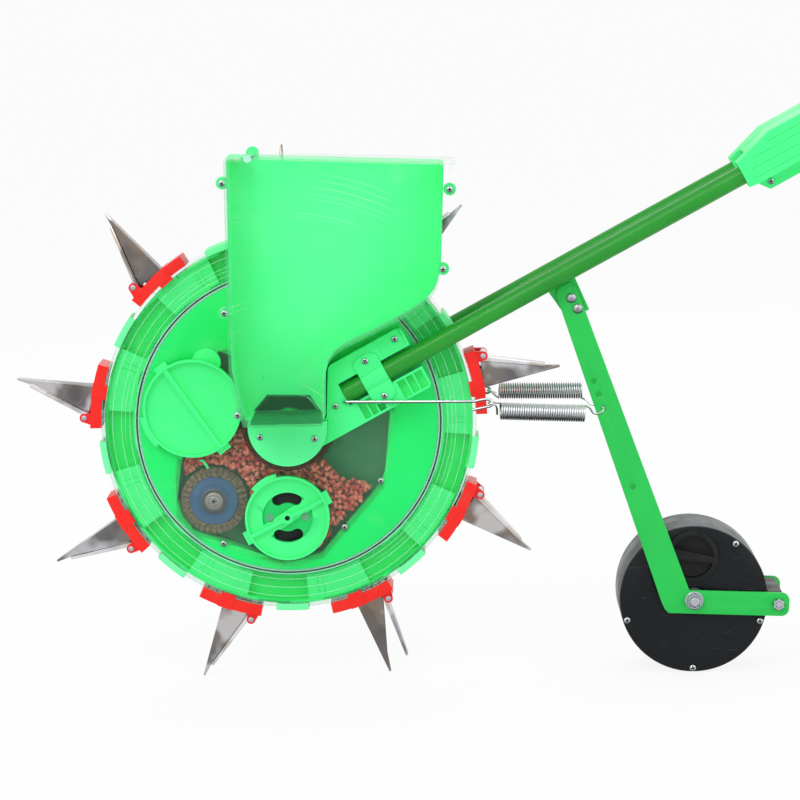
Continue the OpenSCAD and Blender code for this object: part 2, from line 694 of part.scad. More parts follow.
// Strut bracket: a plate between the tubes with two cheeks, slotted for the stop bolt
cheek_y = 17.6;
cheek_t = 3;
stop_reach = 12.5;
stop_a = -57;
swing = 18;
bar_y = cheek_y + slip;
module slot_2d(r) {
    sector(stop_reach - r, stop_reach + r, stop_a, stop_a + swing);
    for (a = [stop_a, stop_a + swing]) at(ring_point(stop_reach, a)) circle(r);
}
module strut_bracket() color(strut_green) on_frame() difference() {
    union() {
        rotate([0, -handle_angle, 0]) translate([293, -tube_y, -9]) cube([31, tube_gap, 3]);
        both_sides() slab(-cheek_y, -cheek_y + cheek_t) polygon([along(293, -8), along(296, -34),
            along(306, -45), along(321, -47), along(324, -8)]);
        rotate([0, -handle_angle, 0]) translate([311, 0, -6.5]) cylinder(r = 5.5, h = 4.5);
    }
    rotate([0, -handle_angle, 0]) both_sides() tube_path(280, 340, tube_r + running);
    rod(pivot, 4 + running, -cheek_y - 1, cheek_y + 1);
    slab(-cheek_y - 1, cheek_y + 1) at(pivot) slot_2d(3.3);
}

// Strut bars: flat bars that spread from the pivot to the wheel
flare_y = wheel_w / 2 + 3;
hook_hole = strut_at(114.5, -11.8);
spare_holes = [strut_at(85.8, -10.5), strut_at(100, -10.9)];
accessory_hole = strut_at(198.4, -14);
arm_high = 10.4;
arm_low = -13.6;
arm_end = 96.2;
module strut_2d() difference() {
    union() {
        polygon([strut_at(-9, -bar_w / 2 - 2), strut_at(strut_len - 11.6, -31.2), axle + [-29.4, arm_low + 4],
            axle + [-25.4, arm_low], axle + [-5.4, arm_high], strut_at(-8, bar_w / 2 - 2),
            strut_at(-15.5, bar_w / 2 - 6), strut_at(-14.5, -bar_w / 2 + 3)]);
        at(axle) {
            at([-25.4, arm_low]) square([arm_end + 17.4, arm_high - arm_low]);
            at([-25.4, arm_low + 8]) square([arm_end + 25.4, arm_high - arm_low - 16]);
            for (z = [arm_low + 8, arm_high - 8]) at([arm_end - 8, z]) circle(8);
        }
    }
    at(axle) circle(axle_r + running);
    at(pivot) circle(4 + running);
    at(stop_at) circle(3 + running);
    at(hook_hole) circle(3.3);
    for (p = spare_holes) at(p) circle(3.3);
    at(accessory_hole) circle(accessory_r);
    at(scraper_at) circle(3 + running);
}
stop_at = pivot + ring_point(stop_reach, stop_a);
scraper_at = axle + [85.2, -1.3];
bar_high = pivot[1] - 22;
bar_low = axle[1] + wheel_r + 4;
module strut_bars() color(strut_green) on_frame() both_sides() intersection() {
    slab(-flare_y - bar_t - 1, -bar_y + 1) strut_2d();
    run(pivot[0] - 40, axle[0] + 120) polygon([[-bar_y, pivot[1] + 40], [-bar_y, bar_high], [-flare_y, bar_low],
        [-flare_y, axle[1] - 30], [-flare_y - bar_t, axle[1] - 30], [-flare_y - bar_t, bar_low],
        [-bar_y - bar_t, bar_high], [-bar_y - bar_t, pivot[1] + 40]]);
}
module round_head(p, y) spun(p) polygon([[0, y - 3.2], [3, y - 2.7], [4.6, y - 1.4], [5.3, y], [0, y]]);
module pivot_bolts() color(steel) on_frame() for (b = [[pivot, 4], [stop_at, 3]]) {
    rod(b[0], b[1], -bar_y - bar_t - 0.1, bar_y + bar_t + 4);
    round_head(b[0], -bar_y - bar_t);
    translate([b[0][0], bar_y + bar_t, b[0][1]]) rotate([-90, 0, 0]) difference() {
        cylinder(r = b[1] * 1.5 , h = 3.2, $fn = 6);
        translate([0, 0, -1]) cylinder(r = b[1], h = 6);
    }
}

// Scraper: a blade on a spacer tube, held by a bolt between the arms
module scraper() color(black) on_frame() {
    difference() {
        union() {
            rod(scraper_at, 6, -flare_y + seat, flare_y - seat);
            slab(-wheel_w / 2 + 3, wheel_w / 2 - 3) polygon([scraper_at + [-3, 0], scraper_at + [4, 0],
                scraper_at + [4, 11], [wheel_edge, scraper_at[1] + 11], [wheel_edge, scraper_at[1] + 8.5],
                scraper_at + [-3, 8.5]]);
        }
        rod(scraper_at, 3 + running, -flare_y - 1, flare_y + 1);
    }
    rod(scraper_at, 3, -flare_y - bar_t - 6, flare_y + bar_t + 6);
    both_sides() translate([scraper_at[0], -flare_y - bar_t, scraper_at[1]]) rotate([90, 0, 0]) difference() {
        cylinder(r = 5.7, h = 4.4, $fn = 6);
        translate([0, 0, -1]) cylinder(r = 3, h = 7);
    }
}
wheel_edge = axle[0] + wheel_r + 0.5;

module wheel_axle() color(steel) on_frame() {
    rod(axle, axle_r, -flare_y - bar_t - 11, flare_y + bar_t + 11);
    both_sides() difference() {
        union() {
            rod(axle, axle_r + 5, -flare_y - bar_t - 1.4, -flare_y - bar_t);
            translate([axle[0], -flare_y - bar_t - 1.4, axle[1]]) rotate([90, 0, 0])
                cylinder(r = axle_r * 1.96, h = 7, $fn = 6);
            rod(axle, axle_r + 3.5, -flare_y, -wheel_w / 2 - slip);
        }
        rod(axle, axle_r, -flare_y - bar_t - 10, -wheel_w / 2 + 1);
    }
}

// Press wheel: a hollow drum with a screwed cover, filled through a cap
cover_t = 2.5;
wheel_wall = 3.5;
cover_y = -wheel_w / 2;
filler = axle + [-3.1, wheel_r * 0.589];
filler_r = 26.5;
function cover_screw(k) = axle + ring_point(wheel_r - 4.4, 55.3 + 72 * k);
module press_wheel() color(black) on_frame() {
    difference() {
        union() {
            spun(axle) polygon([[axle_r + running, cover_y], [12, cover_y], [12, wheel_w / 2 - wheel_wall],
                [wheel_r - wheel_wall, wheel_w / 2 - wheel_wall], [wheel_r - wheel_wall, cover_y + cover_t + seat],
                [wheel_r, cover_y + cover_t + seat], [wheel_r, wheel_w / 2 - 4], [wheel_r - 4, wheel_w / 2],
                [axle_r + running, wheel_w / 2]]);
            for (k = [0 : 4]) rod(cover_screw(k), 3.6, cover_y + cover_t + seat, cover_y + 16);
        }
        for (k = [0 : 4]) rod(cover_screw(k), 1.7, cover_y, cover_y + 12);
    }
}
module wheel_cover() color(black) on_frame() difference() {
    spun(axle) polygon([[12 + seat, cover_y], [wheel_r - 2, cover_y], [wheel_r - 0.5, cover_y + 1.2],
        [wheel_r - 0.5, cover_y + cover_t], [12 + seat, cover_y + cover_t]]);
    for (k = [0 : 4]) rod(cover_screw(k), 1.7, cover_y - 1, cover_y + 4);
    rod(filler, filler_r - 2.3, cover_y - 1, cover_y + 4);
}
module wheel_screws() color(steel) on_frame() for (k = [0 : 4]) screw(cover_screw(k), cover_y, 3.2, 11);
module filler_cap() color(black) on_frame() {
    difference() {
        union() {
            rod(filler, filler_r, cover_y - 2.4, cover_y - seat);
            rod(filler, filler_r - 2.6, cover_y - 1, cover_y + 8);
        }
        rod(filler, filler_r - 5, cover_y - 3, cover_y + 6);
    }
    intersection() {
        translate([filler[0], 0, filler[1]]) rotate([0, 8, 0]) slab(cover_y - 2.2, cover_y + 6.5)
            polygon([[-filler_r, -5.5], [filler_r, -3], [filler_r, 3], [-filler_r, 5.5]]);
        rod(filler, filler_r - 4.5, cover_y - 3, cover_y + 7);
    }
}

// Spring rods: bent wire from the bracket to an eye
module spring_rod() {
    rod(rod_end, rod_r, -rod_y, floor_front - 1);
    translate([rod_end[0], -rod_y, rod_end[1]]) sphere(rod_r);
    link = eye - [4.7, 0] - rod_end;
    translate([rod_end[0], -rod_y, rod_end[1]]) rotate([0, 90 - atan2(link[1], link[0]), 0])
        cylinder(r = rod_r, h = norm(link));
    translate([eye[0], -rod_y, eye[1]]) rotate([90, 0, 0]) rotate_extrude() translate([4.7, 0]) circle(rod_r);
}
module spring_rods() color(steel) on_frame() both_sides() spring_rod();

// Extension springs: one unbroken wire of six sides swept along its own path
curl_rings = 8;
coil_r = spring_r - wire_r;
spring_x = 213;
spring_y = tube_y + 1.5;
hook_x = eye[0] + 4.7 - rod_r - wire_r - 0.2;
hook_y = flare_y - (flare_y - bar_y) * (hook_hole[1] - bar_low) / (bar_high - bar_low);
function wire_path(zc, turn) = concat(
    [[hook_x, -rod_y - 3.5, eye[1]], [hook_x, -rod_y, eye[1]], [hook_x, -rod_y + 2.4, eye[1]],
        [hook_x + 1.6, -rod_y + 4, eye[1]],
        [spring_x - 4, -spring_y - 3.5, (eye[1] + zc + coil_r * cos(turn)) / 2]],
    [for (k = [0 : curls * curl_rings]) let (a = turn + 360 * k / curl_rings)
        [spring_x + spring_len * k / (curls * curl_rings), -spring_y + coil_r * sin(a), zc + coil_r * cos(a)]],
    [[spring_x + spring_len + 4, -spring_y + 3.5, (hook_hole[1] + zc + coil_r * cos(turn)) / 2],
        [hook_hole[0] - 4.6, -hook_y - bar_t - 3.4, hook_hole[1]],
        [hook_hole[0] - 2.2, -hook_y - bar_t - 1.6, hook_hole[1]],
        [hook_hole[0] - 1.7, -hook_y - bar_t, hook_hole[1]],
        [hook_hole[0] - 1.7, -hook_y + 3.5, hook_hole[1]]]);
function unit(v) = v / norm(v);
function heading(p, i) = unit(p[min(i + 1, len(p) - 1)] - p[max(i - 1, 0)]);
function carried(n, t) = unit(n - (n * t) * t);
function normals(p) = [for (i = 0, n = carried([0, 0, 1], heading(p, 0)); i < len(p);
    i = i + 1, n = carried(n, heading(p, min(i, len(p) - 1)))) n];
sides = 6;
module wire(p, r) {
    ns = normals(p);
    pts = [for (i = [0 : len(p) - 1], k = [0 : sides - 1]) let (t = heading(p, i), n = ns[i], b = cross(t, n),
        a = 360 * k / sides) p[i] + r * (cos(a) * n + sin(a) * b)];
    last = (len(p) - 1) * sides;
    faces = concat(
        [for (i = [0 : len(p) - 2], k = [0 : sides - 1], h = [0, 1]) let (a = i * sides + k,
            b = i * sides + (k + 1) % sides) h == 0 ? [a, b, b + sides] : [a, b + sides, a + sides]],
        [for (k = [1 : sides - 2]) [0, k + 1, k]],
        [for (k = [1 : sides - 2]) [last, last + k, last + k + 1]]);
    polyhedron(points = pts, faces = faces);
}
near_path = wire_path(eye[1] - coil_r, 0);
far_path = wire_path(eye[1] + 6.4, 180);
function least_gap(p) = min([for (i = [0 : len(p) - 8], j = [i + 6 : min(i + 12, len(p) - 1)])
    norm(p[i] - p[j]) - 2 * wire_r]);
echo(spring_gap_near = least_gap(near_path), spring_gap_far = least_gap(far_path));
module spring_near() color(steel) on_frame() wire(near_path, wire_r);
module spring_far() color(steel) on_frame() mirror([0, 1, 0]) wire(far_path, wire_r);

// Drum
gear_rim_r = ring_r + 7.5;
module drive_disc() color(drum_green) on_drum() difference() {
    union() {
        slab(disc_y, disc_y + drum_wall) circle(pocket_out_r);
        rod([0, 0], sleeve_r + 10, pan_back + pan_t + 0.5, -floor_back - 0.5);
        slab(gear_y - 1, disc_y) difference() {
            circle(gear_rim_r);
            polygon(gear_points(ring_teeth, -1));
        }
        for (k = [0 : beak_count - 1]) rotate([0, -beak_angle(k), 0])
            translate([sleeve_r + 8, disc_y + drum_wall - 1, -1.5]) cube([pocket_in_r - sleeve_r - 9, 3.6, 3]);
        slab(disc_y + drum_wall, disc_y + drum_wall + 3) ring(pocket_in_r - drum_wall, pocket_in_r);
    }
    rod([0, 0], sleeve_r + running, pan_back, -floor_back + 1);
}

// Seed passage through the drum's walls into a beak
module passage() translate([pocket_in_r - 10, -6, 0]) cube([holder_r - pocket_in_r + 12, 17, 17]);

plateau_y = -face_y + 6;
recess_y = plateau_y + 8;
plateau_a = 4.8;
half_step = beak_step / 2;
module pocket_ring() color(drum_green) on_drum() difference() {
    union() {
        slab(-face_y + drum_wall, disc_y) {
            ring(pocket_in_r - drum_wall, pocket_in_r);
            ring(pocket_out_r - drum_wall, pocket_out_r);
        }
        for (i = [0 : beak_count - 1]) rotate([0, -beak_angle(i), 0]) {
            slab(plateau_y, plateau_y + drum_wall)
                sector(pocket_in_r - 1, pocket_out_r - 1, plateau_a - half_step - 0.15, plateau_a + 0.15);
            slab(recess_y, recess_y + drum_wall)
                sector(pocket_in_r - 1.2, pocket_out_r - 1.2, plateau_a - 0.4, plateau_a + half_step + 0.4);
            for (a = [plateau_a - half_step + 0.8, plateau_a])
                slab(plateau_y + 1, disc_y - 0.5) sector(pocket_in_r - 0.7, pocket_out_r - 0.7, a - 0.8, a);
        }
    }
    for (i = [0 : beak_count - 1]) rotate([0, -beak_angle(i), 0]) passage();
}

module side_ring() color(clear) on_drum() {
    slab(-face_y, -face_y + drum_wall) ring(ring_bore_r, band_r);
    slab(-face_y - 1, -face_y) ring(ring_bore_r, ring_bore_r + 2.2);
}
module rim_band() color(clear) on_drum() difference() {
    slab(-face_y + drum_wall, disc_y + drum_wall) ring(pocket_out_r, band_r);
    for (i = [0 : beak_count - 1]) rotate([0, -beak_angle(i), 0]) passage();
}

cleat_a = 19.5;
cleat_half = 5;
module rim_cleats() color(mint) on_drum() for (i = [0 : beak_count - 1]) rotate([0, -beak_angle(i), 0]) {
    slab(-face_y - 2, disc_y + drum_wall) sector(band_r, rim_r, cleat_a - cleat_half, cleat_a + cleat_half);
    slab(-face_y - 2, -face_y) sector(pocket_out_r, rim_r, cleat_a - cleat_half, cleat_a + cleat_half);
}

// Beaks, drawn with the tip on +X and the moving jaw towards +Z
lug_y = beak_w / 2 + 2.4;
lug_t = 3.4;
lug_r = 4.6;
block_top = 0.6;
module beak_holder() difference() {
    union() {
        slab(-face_y - 2.5, face_y - 1) sector(band_r, holder_r, -8.7, 10.2);
        slab(-face_y - 3.5, -face_y) sector(pocket_out_r, holder_r + block_top, -3.1, 1.5);
        slab(-face_y, face_y - 1) sector(holder_r - 1, holder_r + block_top, -3.1, 1.5);
        both_sides() slab(-lug_y - lug_t, -lug_y) {
            at(hinge) circle(lug_r);
            polygon([[holder_r - 5, hinge[1] - 6], hinge + [1.6, -4.3], hinge + [0, lug_r], [holder_r - 7, hinge[1] + 7]]);
        }
    }
    translate([jaw_base, -beak_w / 2 - seat, -5.3 - seat])
        cube([30, beak_w + 2 * seat, 20.2 + 2 * seat]);
    passage();
    rod(hinge, pin_r + 0.02, -lug_y - lug_t - 1, lug_y + lug_t + 1);
}
module beak_holders() color(red) each_beak() beak_holder();

// The moving jaw's back runs from (jaw_root, jaw_back) to its tip, and its sides from there to its edges
blade_x = 203;
blade_root = holder_r + block_top + 0.3;
blade_top = 22.3;
blade_end = 3.9;
jaw_root = holder_r + 1.6;
jaw_tip = tip_r - 14;
jaw_back = 27;
jaw_edge = 22.4;
jaw_tip_back = 5.9;
jaw_tip_edge = 3.2;
jaw_out = beak_w / 2 + 1.9;
jaw_slope = (beak_w - beak_tip_w) / 2 / (tip_r - blade_x);
jaw_tip_out = jaw_out - jaw_slope * (jaw_tip - blade_x);
jaw_fall = (jaw_back - jaw_tip_back) / (jaw_tip - jaw_root);
jaw_under = jaw_t * sqrt(1 + jaw_fall * jaw_fall);
module wedge_plan(h0, h1, x0, x1) linear_extrude(80, center = true)
    polygon([[x0, -h0], [blade_x, -h0], [x1, -h1], [x1, h1], [blade_x, h0], [x0, h0]]);
module fixed_jaw() difference() {
    intersection() {
        slab(-30, 30) polygon([[jaw_base + 0.1, -5.3], [blade_x, -5.3], [tip_r, -0.9], [tip_r, 0.9],
            [jaw_tip - 4, blade_end], [blade_root, blade_top], [blade_root, 14.7], [jaw_base + 0.1, 14.7]]);
        wedge_plan(beak_w / 2, beak_tip_w / 2, jaw_base - 5, tip_r);
    }
    intersection() {
        slab(-30, 30) polygon([[jaw_base - 5, -5.3 + jaw_t], [blade_x, -5.3 + jaw_t], [tip_r - 8, 0.4],
            [tip_r - 8, 30], [jaw_base - 5, 30]]);
        wedge_plan(beak_w / 2 - jaw_t, beak_tip_w / 2 - 1, jaw_base - 6, tip_r - 8);
    }
}
module fixed_jaws() color(steel) each_beak() fixed_jaw();

module jaw_plan(g) linear_extrude(100, center = true)
    polygon([[jaw_root - 10, -jaw_out + g], [jaw_root, -jaw_out + g], [jaw_tip, -jaw_tip_out + g],
        [jaw_tip, jaw_tip_out - g], [jaw_root, jaw_out - g], [jaw_root - 10, jaw_out - g]]);
module moving_jaw_shape() difference() {
    union() {
        intersection() {
            slab(-30, 30) polygon([[jaw_root, jaw_back - jaw_under], [jaw_tip, jaw_tip_back - jaw_under],
                [jaw_tip, jaw_tip_back], [jaw_root, jaw_back]]);
            jaw_plan(0);
        }
        difference() {
            intersection() {
                slab(-30, 30) polygon([[jaw_root, jaw_edge], [jaw_tip, jaw_tip_edge], [jaw_tip, jaw_tip_back],
                    [jaw_root, jaw_back]]);
                jaw_plan(0);
            }
            intersection() {
                slab(-30, 30) polygon([[jaw_root - 1, 0], [jaw_tip + 1, -9],
                    [jaw_tip + 1, jaw_tip_back - jaw_under - jaw_fall], [jaw_root - 1, jaw_back - jaw_under + jaw_fall]]);
                jaw_plan(jaw_t);
            }
        }
        rod(hinge, 4.2, -lug_y + slip, lug_y - slip);
    }
    rod(hinge, 4.6, -6.3, 6.3);
    rod(hinge, pin_r + 0.06, -30, 30);
}
module moving_jaw(i, a) color(steel) at_beak(i) translate([hinge[0], 0, hinge[1]]) rotate([0, -a, 0])
    translate([-hinge[0], 0, -hinge[1]]) moving_jaw_shape();
module moving_jaw_1() moving_jaw(0, jaw_open);
module moving_jaw_2() moving_jaw(1, 0);
module moving_jaw_3() moving_jaw(2, 0);
module moving_jaw_4() moving_jaw(3, 0);
module moving_jaw_5() moving_jaw(4, 0);
module moving_jaw_6() moving_jaw(5, 0);
module moving_jaw_7() moving_jaw(6, 0);
module moving_jaw_8() moving_jaw(7, 0);
module moving_jaw_9() moving_jaw(8, 0);

module jaw_pins() color(steel) each_beak() {
    rod(hinge, pin_r, -lug_y - lug_t - 1, lug_y + lug_t + 1);
    both_sides() rod(hinge, pin_r + 0.8, -lug_y - lug_t - 1, -lug_y - lug_t);
}
module jaw_springs() color(steel) each_beak() difference() {
    rod(hinge, 4, -6, 6);
    rod(hinge, pin_r + 0.05, -7, 7);
}

hub_sleeve();
axle_bolt();
chamber_pan();
chamber_window();
hub_ring();
hub_cap();
vent_plug();
seed_charge();
hopper_shell();
hopper_cover();
bracket_near();
bracket_far();
tube_saddles();
frame_screws();
handle_tube_near();
handle_tube_far();
coupling_near();
coupling_far();
upper_tube_near();
upper_tube_far();
grip_near();
grip_far();
strut_bracket();
spring_rods();
spring_near();
spring_far();
hopper_lid();
drive_disc();
pocket_ring();
side_ring();
rim_band();
rim_cleats();
beak_holders();
fixed_jaws();
jaw_pins();
jaw_springs();
moving_jaw_1();
moving_jaw_2();
moving_jaw_3();
moving_jaw_4();
moving_jaw_5();
moving_jaw_6();
moving_jaw_7();
moving_jaw_8();
moving_jaw_9();
metering_roller();
metering_pinion();
brush_disc();
brush_bristles();
brush_shaft();
metering_cap();
access_cap();
strut_bars();
pivot_bolts();
scraper();
wheel_axle();
press_wheel();
wheel_cover();
wheel_screws();
filler_cap();
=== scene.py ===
"""Looks of the walk-behind seed planter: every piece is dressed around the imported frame, in metres."""

import json
import logging
import math
import random
from dataclasses import dataclass
from enum import Enum
from typing import Dict, List, Optional, Sequence, Tuple, Union

import bpy
from mathutils import Matrix, Vector

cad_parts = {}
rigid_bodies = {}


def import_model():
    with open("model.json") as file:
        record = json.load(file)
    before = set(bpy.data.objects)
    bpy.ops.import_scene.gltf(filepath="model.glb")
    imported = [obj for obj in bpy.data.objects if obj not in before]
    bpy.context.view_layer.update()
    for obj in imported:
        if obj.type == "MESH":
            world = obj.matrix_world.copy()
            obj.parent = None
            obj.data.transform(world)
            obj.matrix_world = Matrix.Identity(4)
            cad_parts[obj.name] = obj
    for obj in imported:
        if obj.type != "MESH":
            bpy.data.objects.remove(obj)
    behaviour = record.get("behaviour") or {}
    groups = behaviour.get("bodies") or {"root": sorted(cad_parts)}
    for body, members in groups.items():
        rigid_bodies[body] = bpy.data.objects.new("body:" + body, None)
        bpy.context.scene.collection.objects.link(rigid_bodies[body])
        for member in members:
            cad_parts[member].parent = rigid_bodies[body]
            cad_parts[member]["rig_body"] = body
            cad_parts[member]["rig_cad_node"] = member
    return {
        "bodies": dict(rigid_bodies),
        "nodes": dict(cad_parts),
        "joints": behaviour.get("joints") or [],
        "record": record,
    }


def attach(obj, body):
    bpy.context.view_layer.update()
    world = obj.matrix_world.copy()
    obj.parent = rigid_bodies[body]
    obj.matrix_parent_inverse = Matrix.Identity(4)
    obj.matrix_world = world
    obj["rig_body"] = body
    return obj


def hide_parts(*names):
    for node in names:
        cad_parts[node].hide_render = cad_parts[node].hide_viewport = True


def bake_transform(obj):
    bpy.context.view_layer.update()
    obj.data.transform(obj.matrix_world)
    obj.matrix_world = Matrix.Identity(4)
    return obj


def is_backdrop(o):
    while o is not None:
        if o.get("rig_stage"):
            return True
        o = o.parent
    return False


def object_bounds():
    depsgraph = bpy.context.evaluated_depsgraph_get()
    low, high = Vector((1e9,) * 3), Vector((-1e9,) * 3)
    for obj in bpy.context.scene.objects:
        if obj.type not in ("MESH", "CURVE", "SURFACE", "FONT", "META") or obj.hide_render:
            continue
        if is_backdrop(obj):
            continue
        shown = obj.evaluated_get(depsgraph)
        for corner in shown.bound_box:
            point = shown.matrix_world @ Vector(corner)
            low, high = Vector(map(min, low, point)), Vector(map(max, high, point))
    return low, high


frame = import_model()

Color = Tuple[float, float, float]
Point = Tuple[float, float]
Spot = Tuple[float, float, float]
Socket = bpy.types.NodeSocket
Mixable = Union[Socket, float, Color]
MM = 0.001
STANCE_TILT = math.radians(2.92628)
HANDLE_ANGLE = math.radians(30.5)
DRUM_CENTRE = (-0.4011765, 0.2631139)
SEAM_GAP = 0.000004
MERGE_GAP = 0.00002
FLAT_ANGLE = math.radians(0.6)
ROUND_ANGLE = math.radians(40.0)
LOG = logging.getLogger("seed planter")


def srgb(red: int, green: int, blue: int) -> Color:
    """Turns a colour of 0 to 255 a channel, as a screen shows it, into the linear values a shader takes.

    Args:
        red: Red channel.
        green: Green channel.
        blue: Blue channel.

    Returns:
        The linear colour.
    """
    channels = []
    for value in (red, green, blue):
        share = value / 255
        channels.append(share / 12.92 if share <= 0.04045 else ((share + 0.055) / 1.055) ** 2.4)
    return channels[0], channels[1], channels[2]


DRY_DUST = srgb(176, 232, 190)
FIELD_SPECK = srgb(40, 96, 44)
BARE_CHIP = srgb(60, 80, 50)
RUST = srgb(110, 82, 58)
# Painted reflection: dark and light bands laid on polished steel in place of its reflections.
PAINTED_DARK_REFLECTION = srgb(92, 88, 86)
PAINTED_LIGHT_REFLECTION = srgb(236, 236, 240)
GREY_SPECK = srgb(96, 92, 84)
PALE_SCRATCH = srgb(104, 110, 114)
SEED_VEIN = srgb(120, 44, 34)


class Edge(Enum):
    """How far the edges of a moulded or cut piece are rounded, in millimetres."""

    THIN = 0.25
    MOULDED = 0.5
    SOFT = 0.9


class Side(Enum):
    """The two sides of the machine, by the sign of Y."""

    NEAR = -1
    FAR = 1


# Finishes


class Graph:
    """A material's node tree, with short ways to add and link nodes."""

    def __init__(self, name: str) -> None:
        """Starts a material of that name with an empty tree and its output.

        Args:
            name: The material's name.
        """
        self.material = bpy.data.materials.new(name)
        self.material.use_nodes = True
        self.nodes = self.material.node_tree.nodes
        self.links = self.material.node_tree.links
        self.nodes.clear()
        self.output = self.nodes.new("ShaderNodeOutputMaterial")
        spots = self.nodes.new("ShaderNodeTexCoord")
        self.place, self.normal = spots.outputs["Object"], spots.outputs["Normal"]

    def shader(self, color: Color, roughness: float, **sockets: float) -> bpy.types.Node:
        """Adds the Principled shader and links it to the output.

        Args:
            color: Linear base colour.
            roughness: Roughness of the surface.
            **sockets: Other sockets, with underscores for spaces.

        Returns:
            The shader node.
        """
        node = self.nodes.new("ShaderNodeBsdfPrincipled")
        node.inputs["Base Color"].default_value = (*color, 1.0)
        node.inputs["Roughness"].default_value = roughness
        for key, value in sockets.items():
            node.inputs[key.replace("_", " ")].default_value = value
        self.links.new(node.outputs[0], self.output.inputs["Surface"])
        return node

    def feed(self, node: bpy.types.Node, key: str, value: Socket) -> None:
        """Links a value to one of a node's sockets."""
        self.links.new(value, node.inputs[key])

    def stretch(self, scale: Spot, turn: float = 0.0) -> Socket:
        """Adds a Mapping node on the object's own coordinates.

        Args:
            scale: Scale along each axis.
            turn: Turn about Y, in radians.

        Returns:
            The mapped vector's socket.
        """
        node = self.nodes.new("ShaderNodeMapping")
        node.inputs["Scale"].default_value = scale
        node.inputs["Rotation"].default_value = (0.0, turn, 0.0)
        self.feed(node, "Vector", self.place)
        return node.outputs["Vector"]

    def noise(self, scale: float, detail: float = 3.0, vector: Optional[Socket] = None,
              rough: float = 0.5) -> Socket:
        """Adds a noise texture.

        Args:
            scale: Scale in turns a metre.
            detail: Number of octaves.
            vector: Socket that gives the place, or None for the object's own coordinates.
            rough: Roughness of the octaves.

        Returns:
            The socket of the noise value.
        """
        node = self.nodes.new("ShaderNodeTexNoise")
        for key, value in (("Scale", scale), ("Detail", detail), ("Roughness", rough)):
            node.inputs[key].default_value = value
        self.feed(node, "Vector", vector or self.place)
        return node.outputs["Fac"]

    def cells(self, scale: float) -> Socket:
        """Adds a Voronoi texture.

        Args:
            scale: Cells a metre.

        Returns:
            The socket of the distance to the nearest cell's middle.
        """
        node = self.nodes.new("ShaderNodeTexVoronoi")
        node.inputs["Scale"].default_value = scale
        self.feed(node, "Vector", self.place)
        return node.outputs["Distance"]

    def along(self, vector: Socket, axis: str) -> Socket:
        """Takes one part of a vector.

        Args:
            vector: Socket of the vector.
            axis: X, Y or Z.

        Returns:
            The socket of that part.
        """
        node = self.nodes.new("ShaderNodeSeparateXYZ")
        self.links.new(vector, node.inputs[0])
        return node.outputs[axis]

    def span(self, value: Socket, low: float, high: float, to_low: float, to_high: float) -> Socket:
        """Maps a value from one range to another, held at both ends.

        Args:
            value: Socket of the value.
            low: Where the range starts.
            high: Where it ends.
            to_low: What the start becomes.
            to_high: What the end becomes.

        Returns:
            The mapped value's socket.
        """
        node = self.nodes.new("ShaderNodeMapRange")
        for key, number in (("From Min", low), ("From Max", high), ("To Min", to_low), ("To Max", to_high)):
            node.inputs[key].default_value = number
        self.feed(node, "Value", value)
        return node.outputs["Result"]

    def blend(self, share: Mixable, first: Mixable, second: Mixable) -> Socket:
        """Mixes two colours.

        Args:
            share: The second's share.
            first: The first colour.
            second: The second colour.

        Returns:
            The mixed colour's socket.
        """
        node = self.nodes.new("ShaderNodeMix")
        node.data_type = "RGBA"
        for socket, value in ((node.inputs[0], share), (node.inputs[6], first), (node.inputs[7], second)):
            if isinstance(value, bpy.types.NodeSocket):
                self.links.new(value, socket)
            else:
                socket.default_value = value if isinstance(value, (int, float)) else (*value, 1.0)
        return node.outputs[2]

    def tint(self, base: Mixable, color: Color, mask: Socket, low: float, high: float,
             share: float = 1.0) -> Socket:
        """Lays a colour over a base as far as a mask reaches."""
        return self.blend(self.span(mask, low, high, 0.0, share), base, color)

    def figure(self, operation: str, first: Socket, second: Socket) -> Socket:
        """Works out a value from two, held between 0 and 1.

        Args:
            operation: The sum, such as ADD or MULTIPLY.
            first: The first value.
            second: The second value.

        Returns:
            The result's socket.
        """
        node = self.nodes.new("ShaderNodeMath")
        node.operation = operation
        node.use_clamp = True
        self.links.new(first, node.inputs[0])
        self.links.new(second, node.inputs[1])
        return node.outputs[0]

    def sheen_arc_lines(self, scale: float) -> Socket:
        """Adds fine lines round the drum's axis, which clear plastic uses as painted sheen arcs.

        Args:
            scale: Lines a metre.

        Returns:
            The socket of their value.
        """
        flat = self.nodes.new("ShaderNodeVectorMath")
        flat.operation = "MULTIPLY_ADD"
        flat.inputs[1].default_value = (1.0, 0.0, 1.0)
        flat.inputs[2].default_value = (-DRUM_CENTRE[0], 0.0, -DRUM_CENTRE[1])
        size = self.nodes.new("ShaderNodeVectorMath")
        size.operation = "LENGTH"
        spread = self.nodes.new("ShaderNodeCombineXYZ")
        self.links.new(self.place, flat.inputs[0])
        self.links.new(flat.outputs[0], size.inputs[0])
        self.links.new(size.outputs["Value"], spread.inputs[0])
        return self.noise(scale, 3.0, spread.outputs[0])

    def bump(self, shader: bpy.types.Node, height: Socket, strength: float, distance: float) -> None:
        """Gives the shader a bumped surface.

        Args:
            shader: The shader node.
            height: Socket of the height.
            strength: How strong the bumps are.
            distance: How high they are, in metres.
        """
        node = self.nodes.new("ShaderNodeBump")
        node.inputs["Strength"].default_value = strength
        node.inputs["Distance"].default_value = distance
        self.feed(node, "Height", height)
        self.feed(shader, "Normal", node.outputs["Normal"])


@dataclass(frozen=True)
class Finish:
    """A finish: what a surface is made of and how worn it is."""

    name: str
    slot: str
    color: Color
    roughness: float = 0.4

    def build(self) -> bpy.types.Material:
        """Builds the material; each kind of surface has its own way."""
        raise NotImplementedError


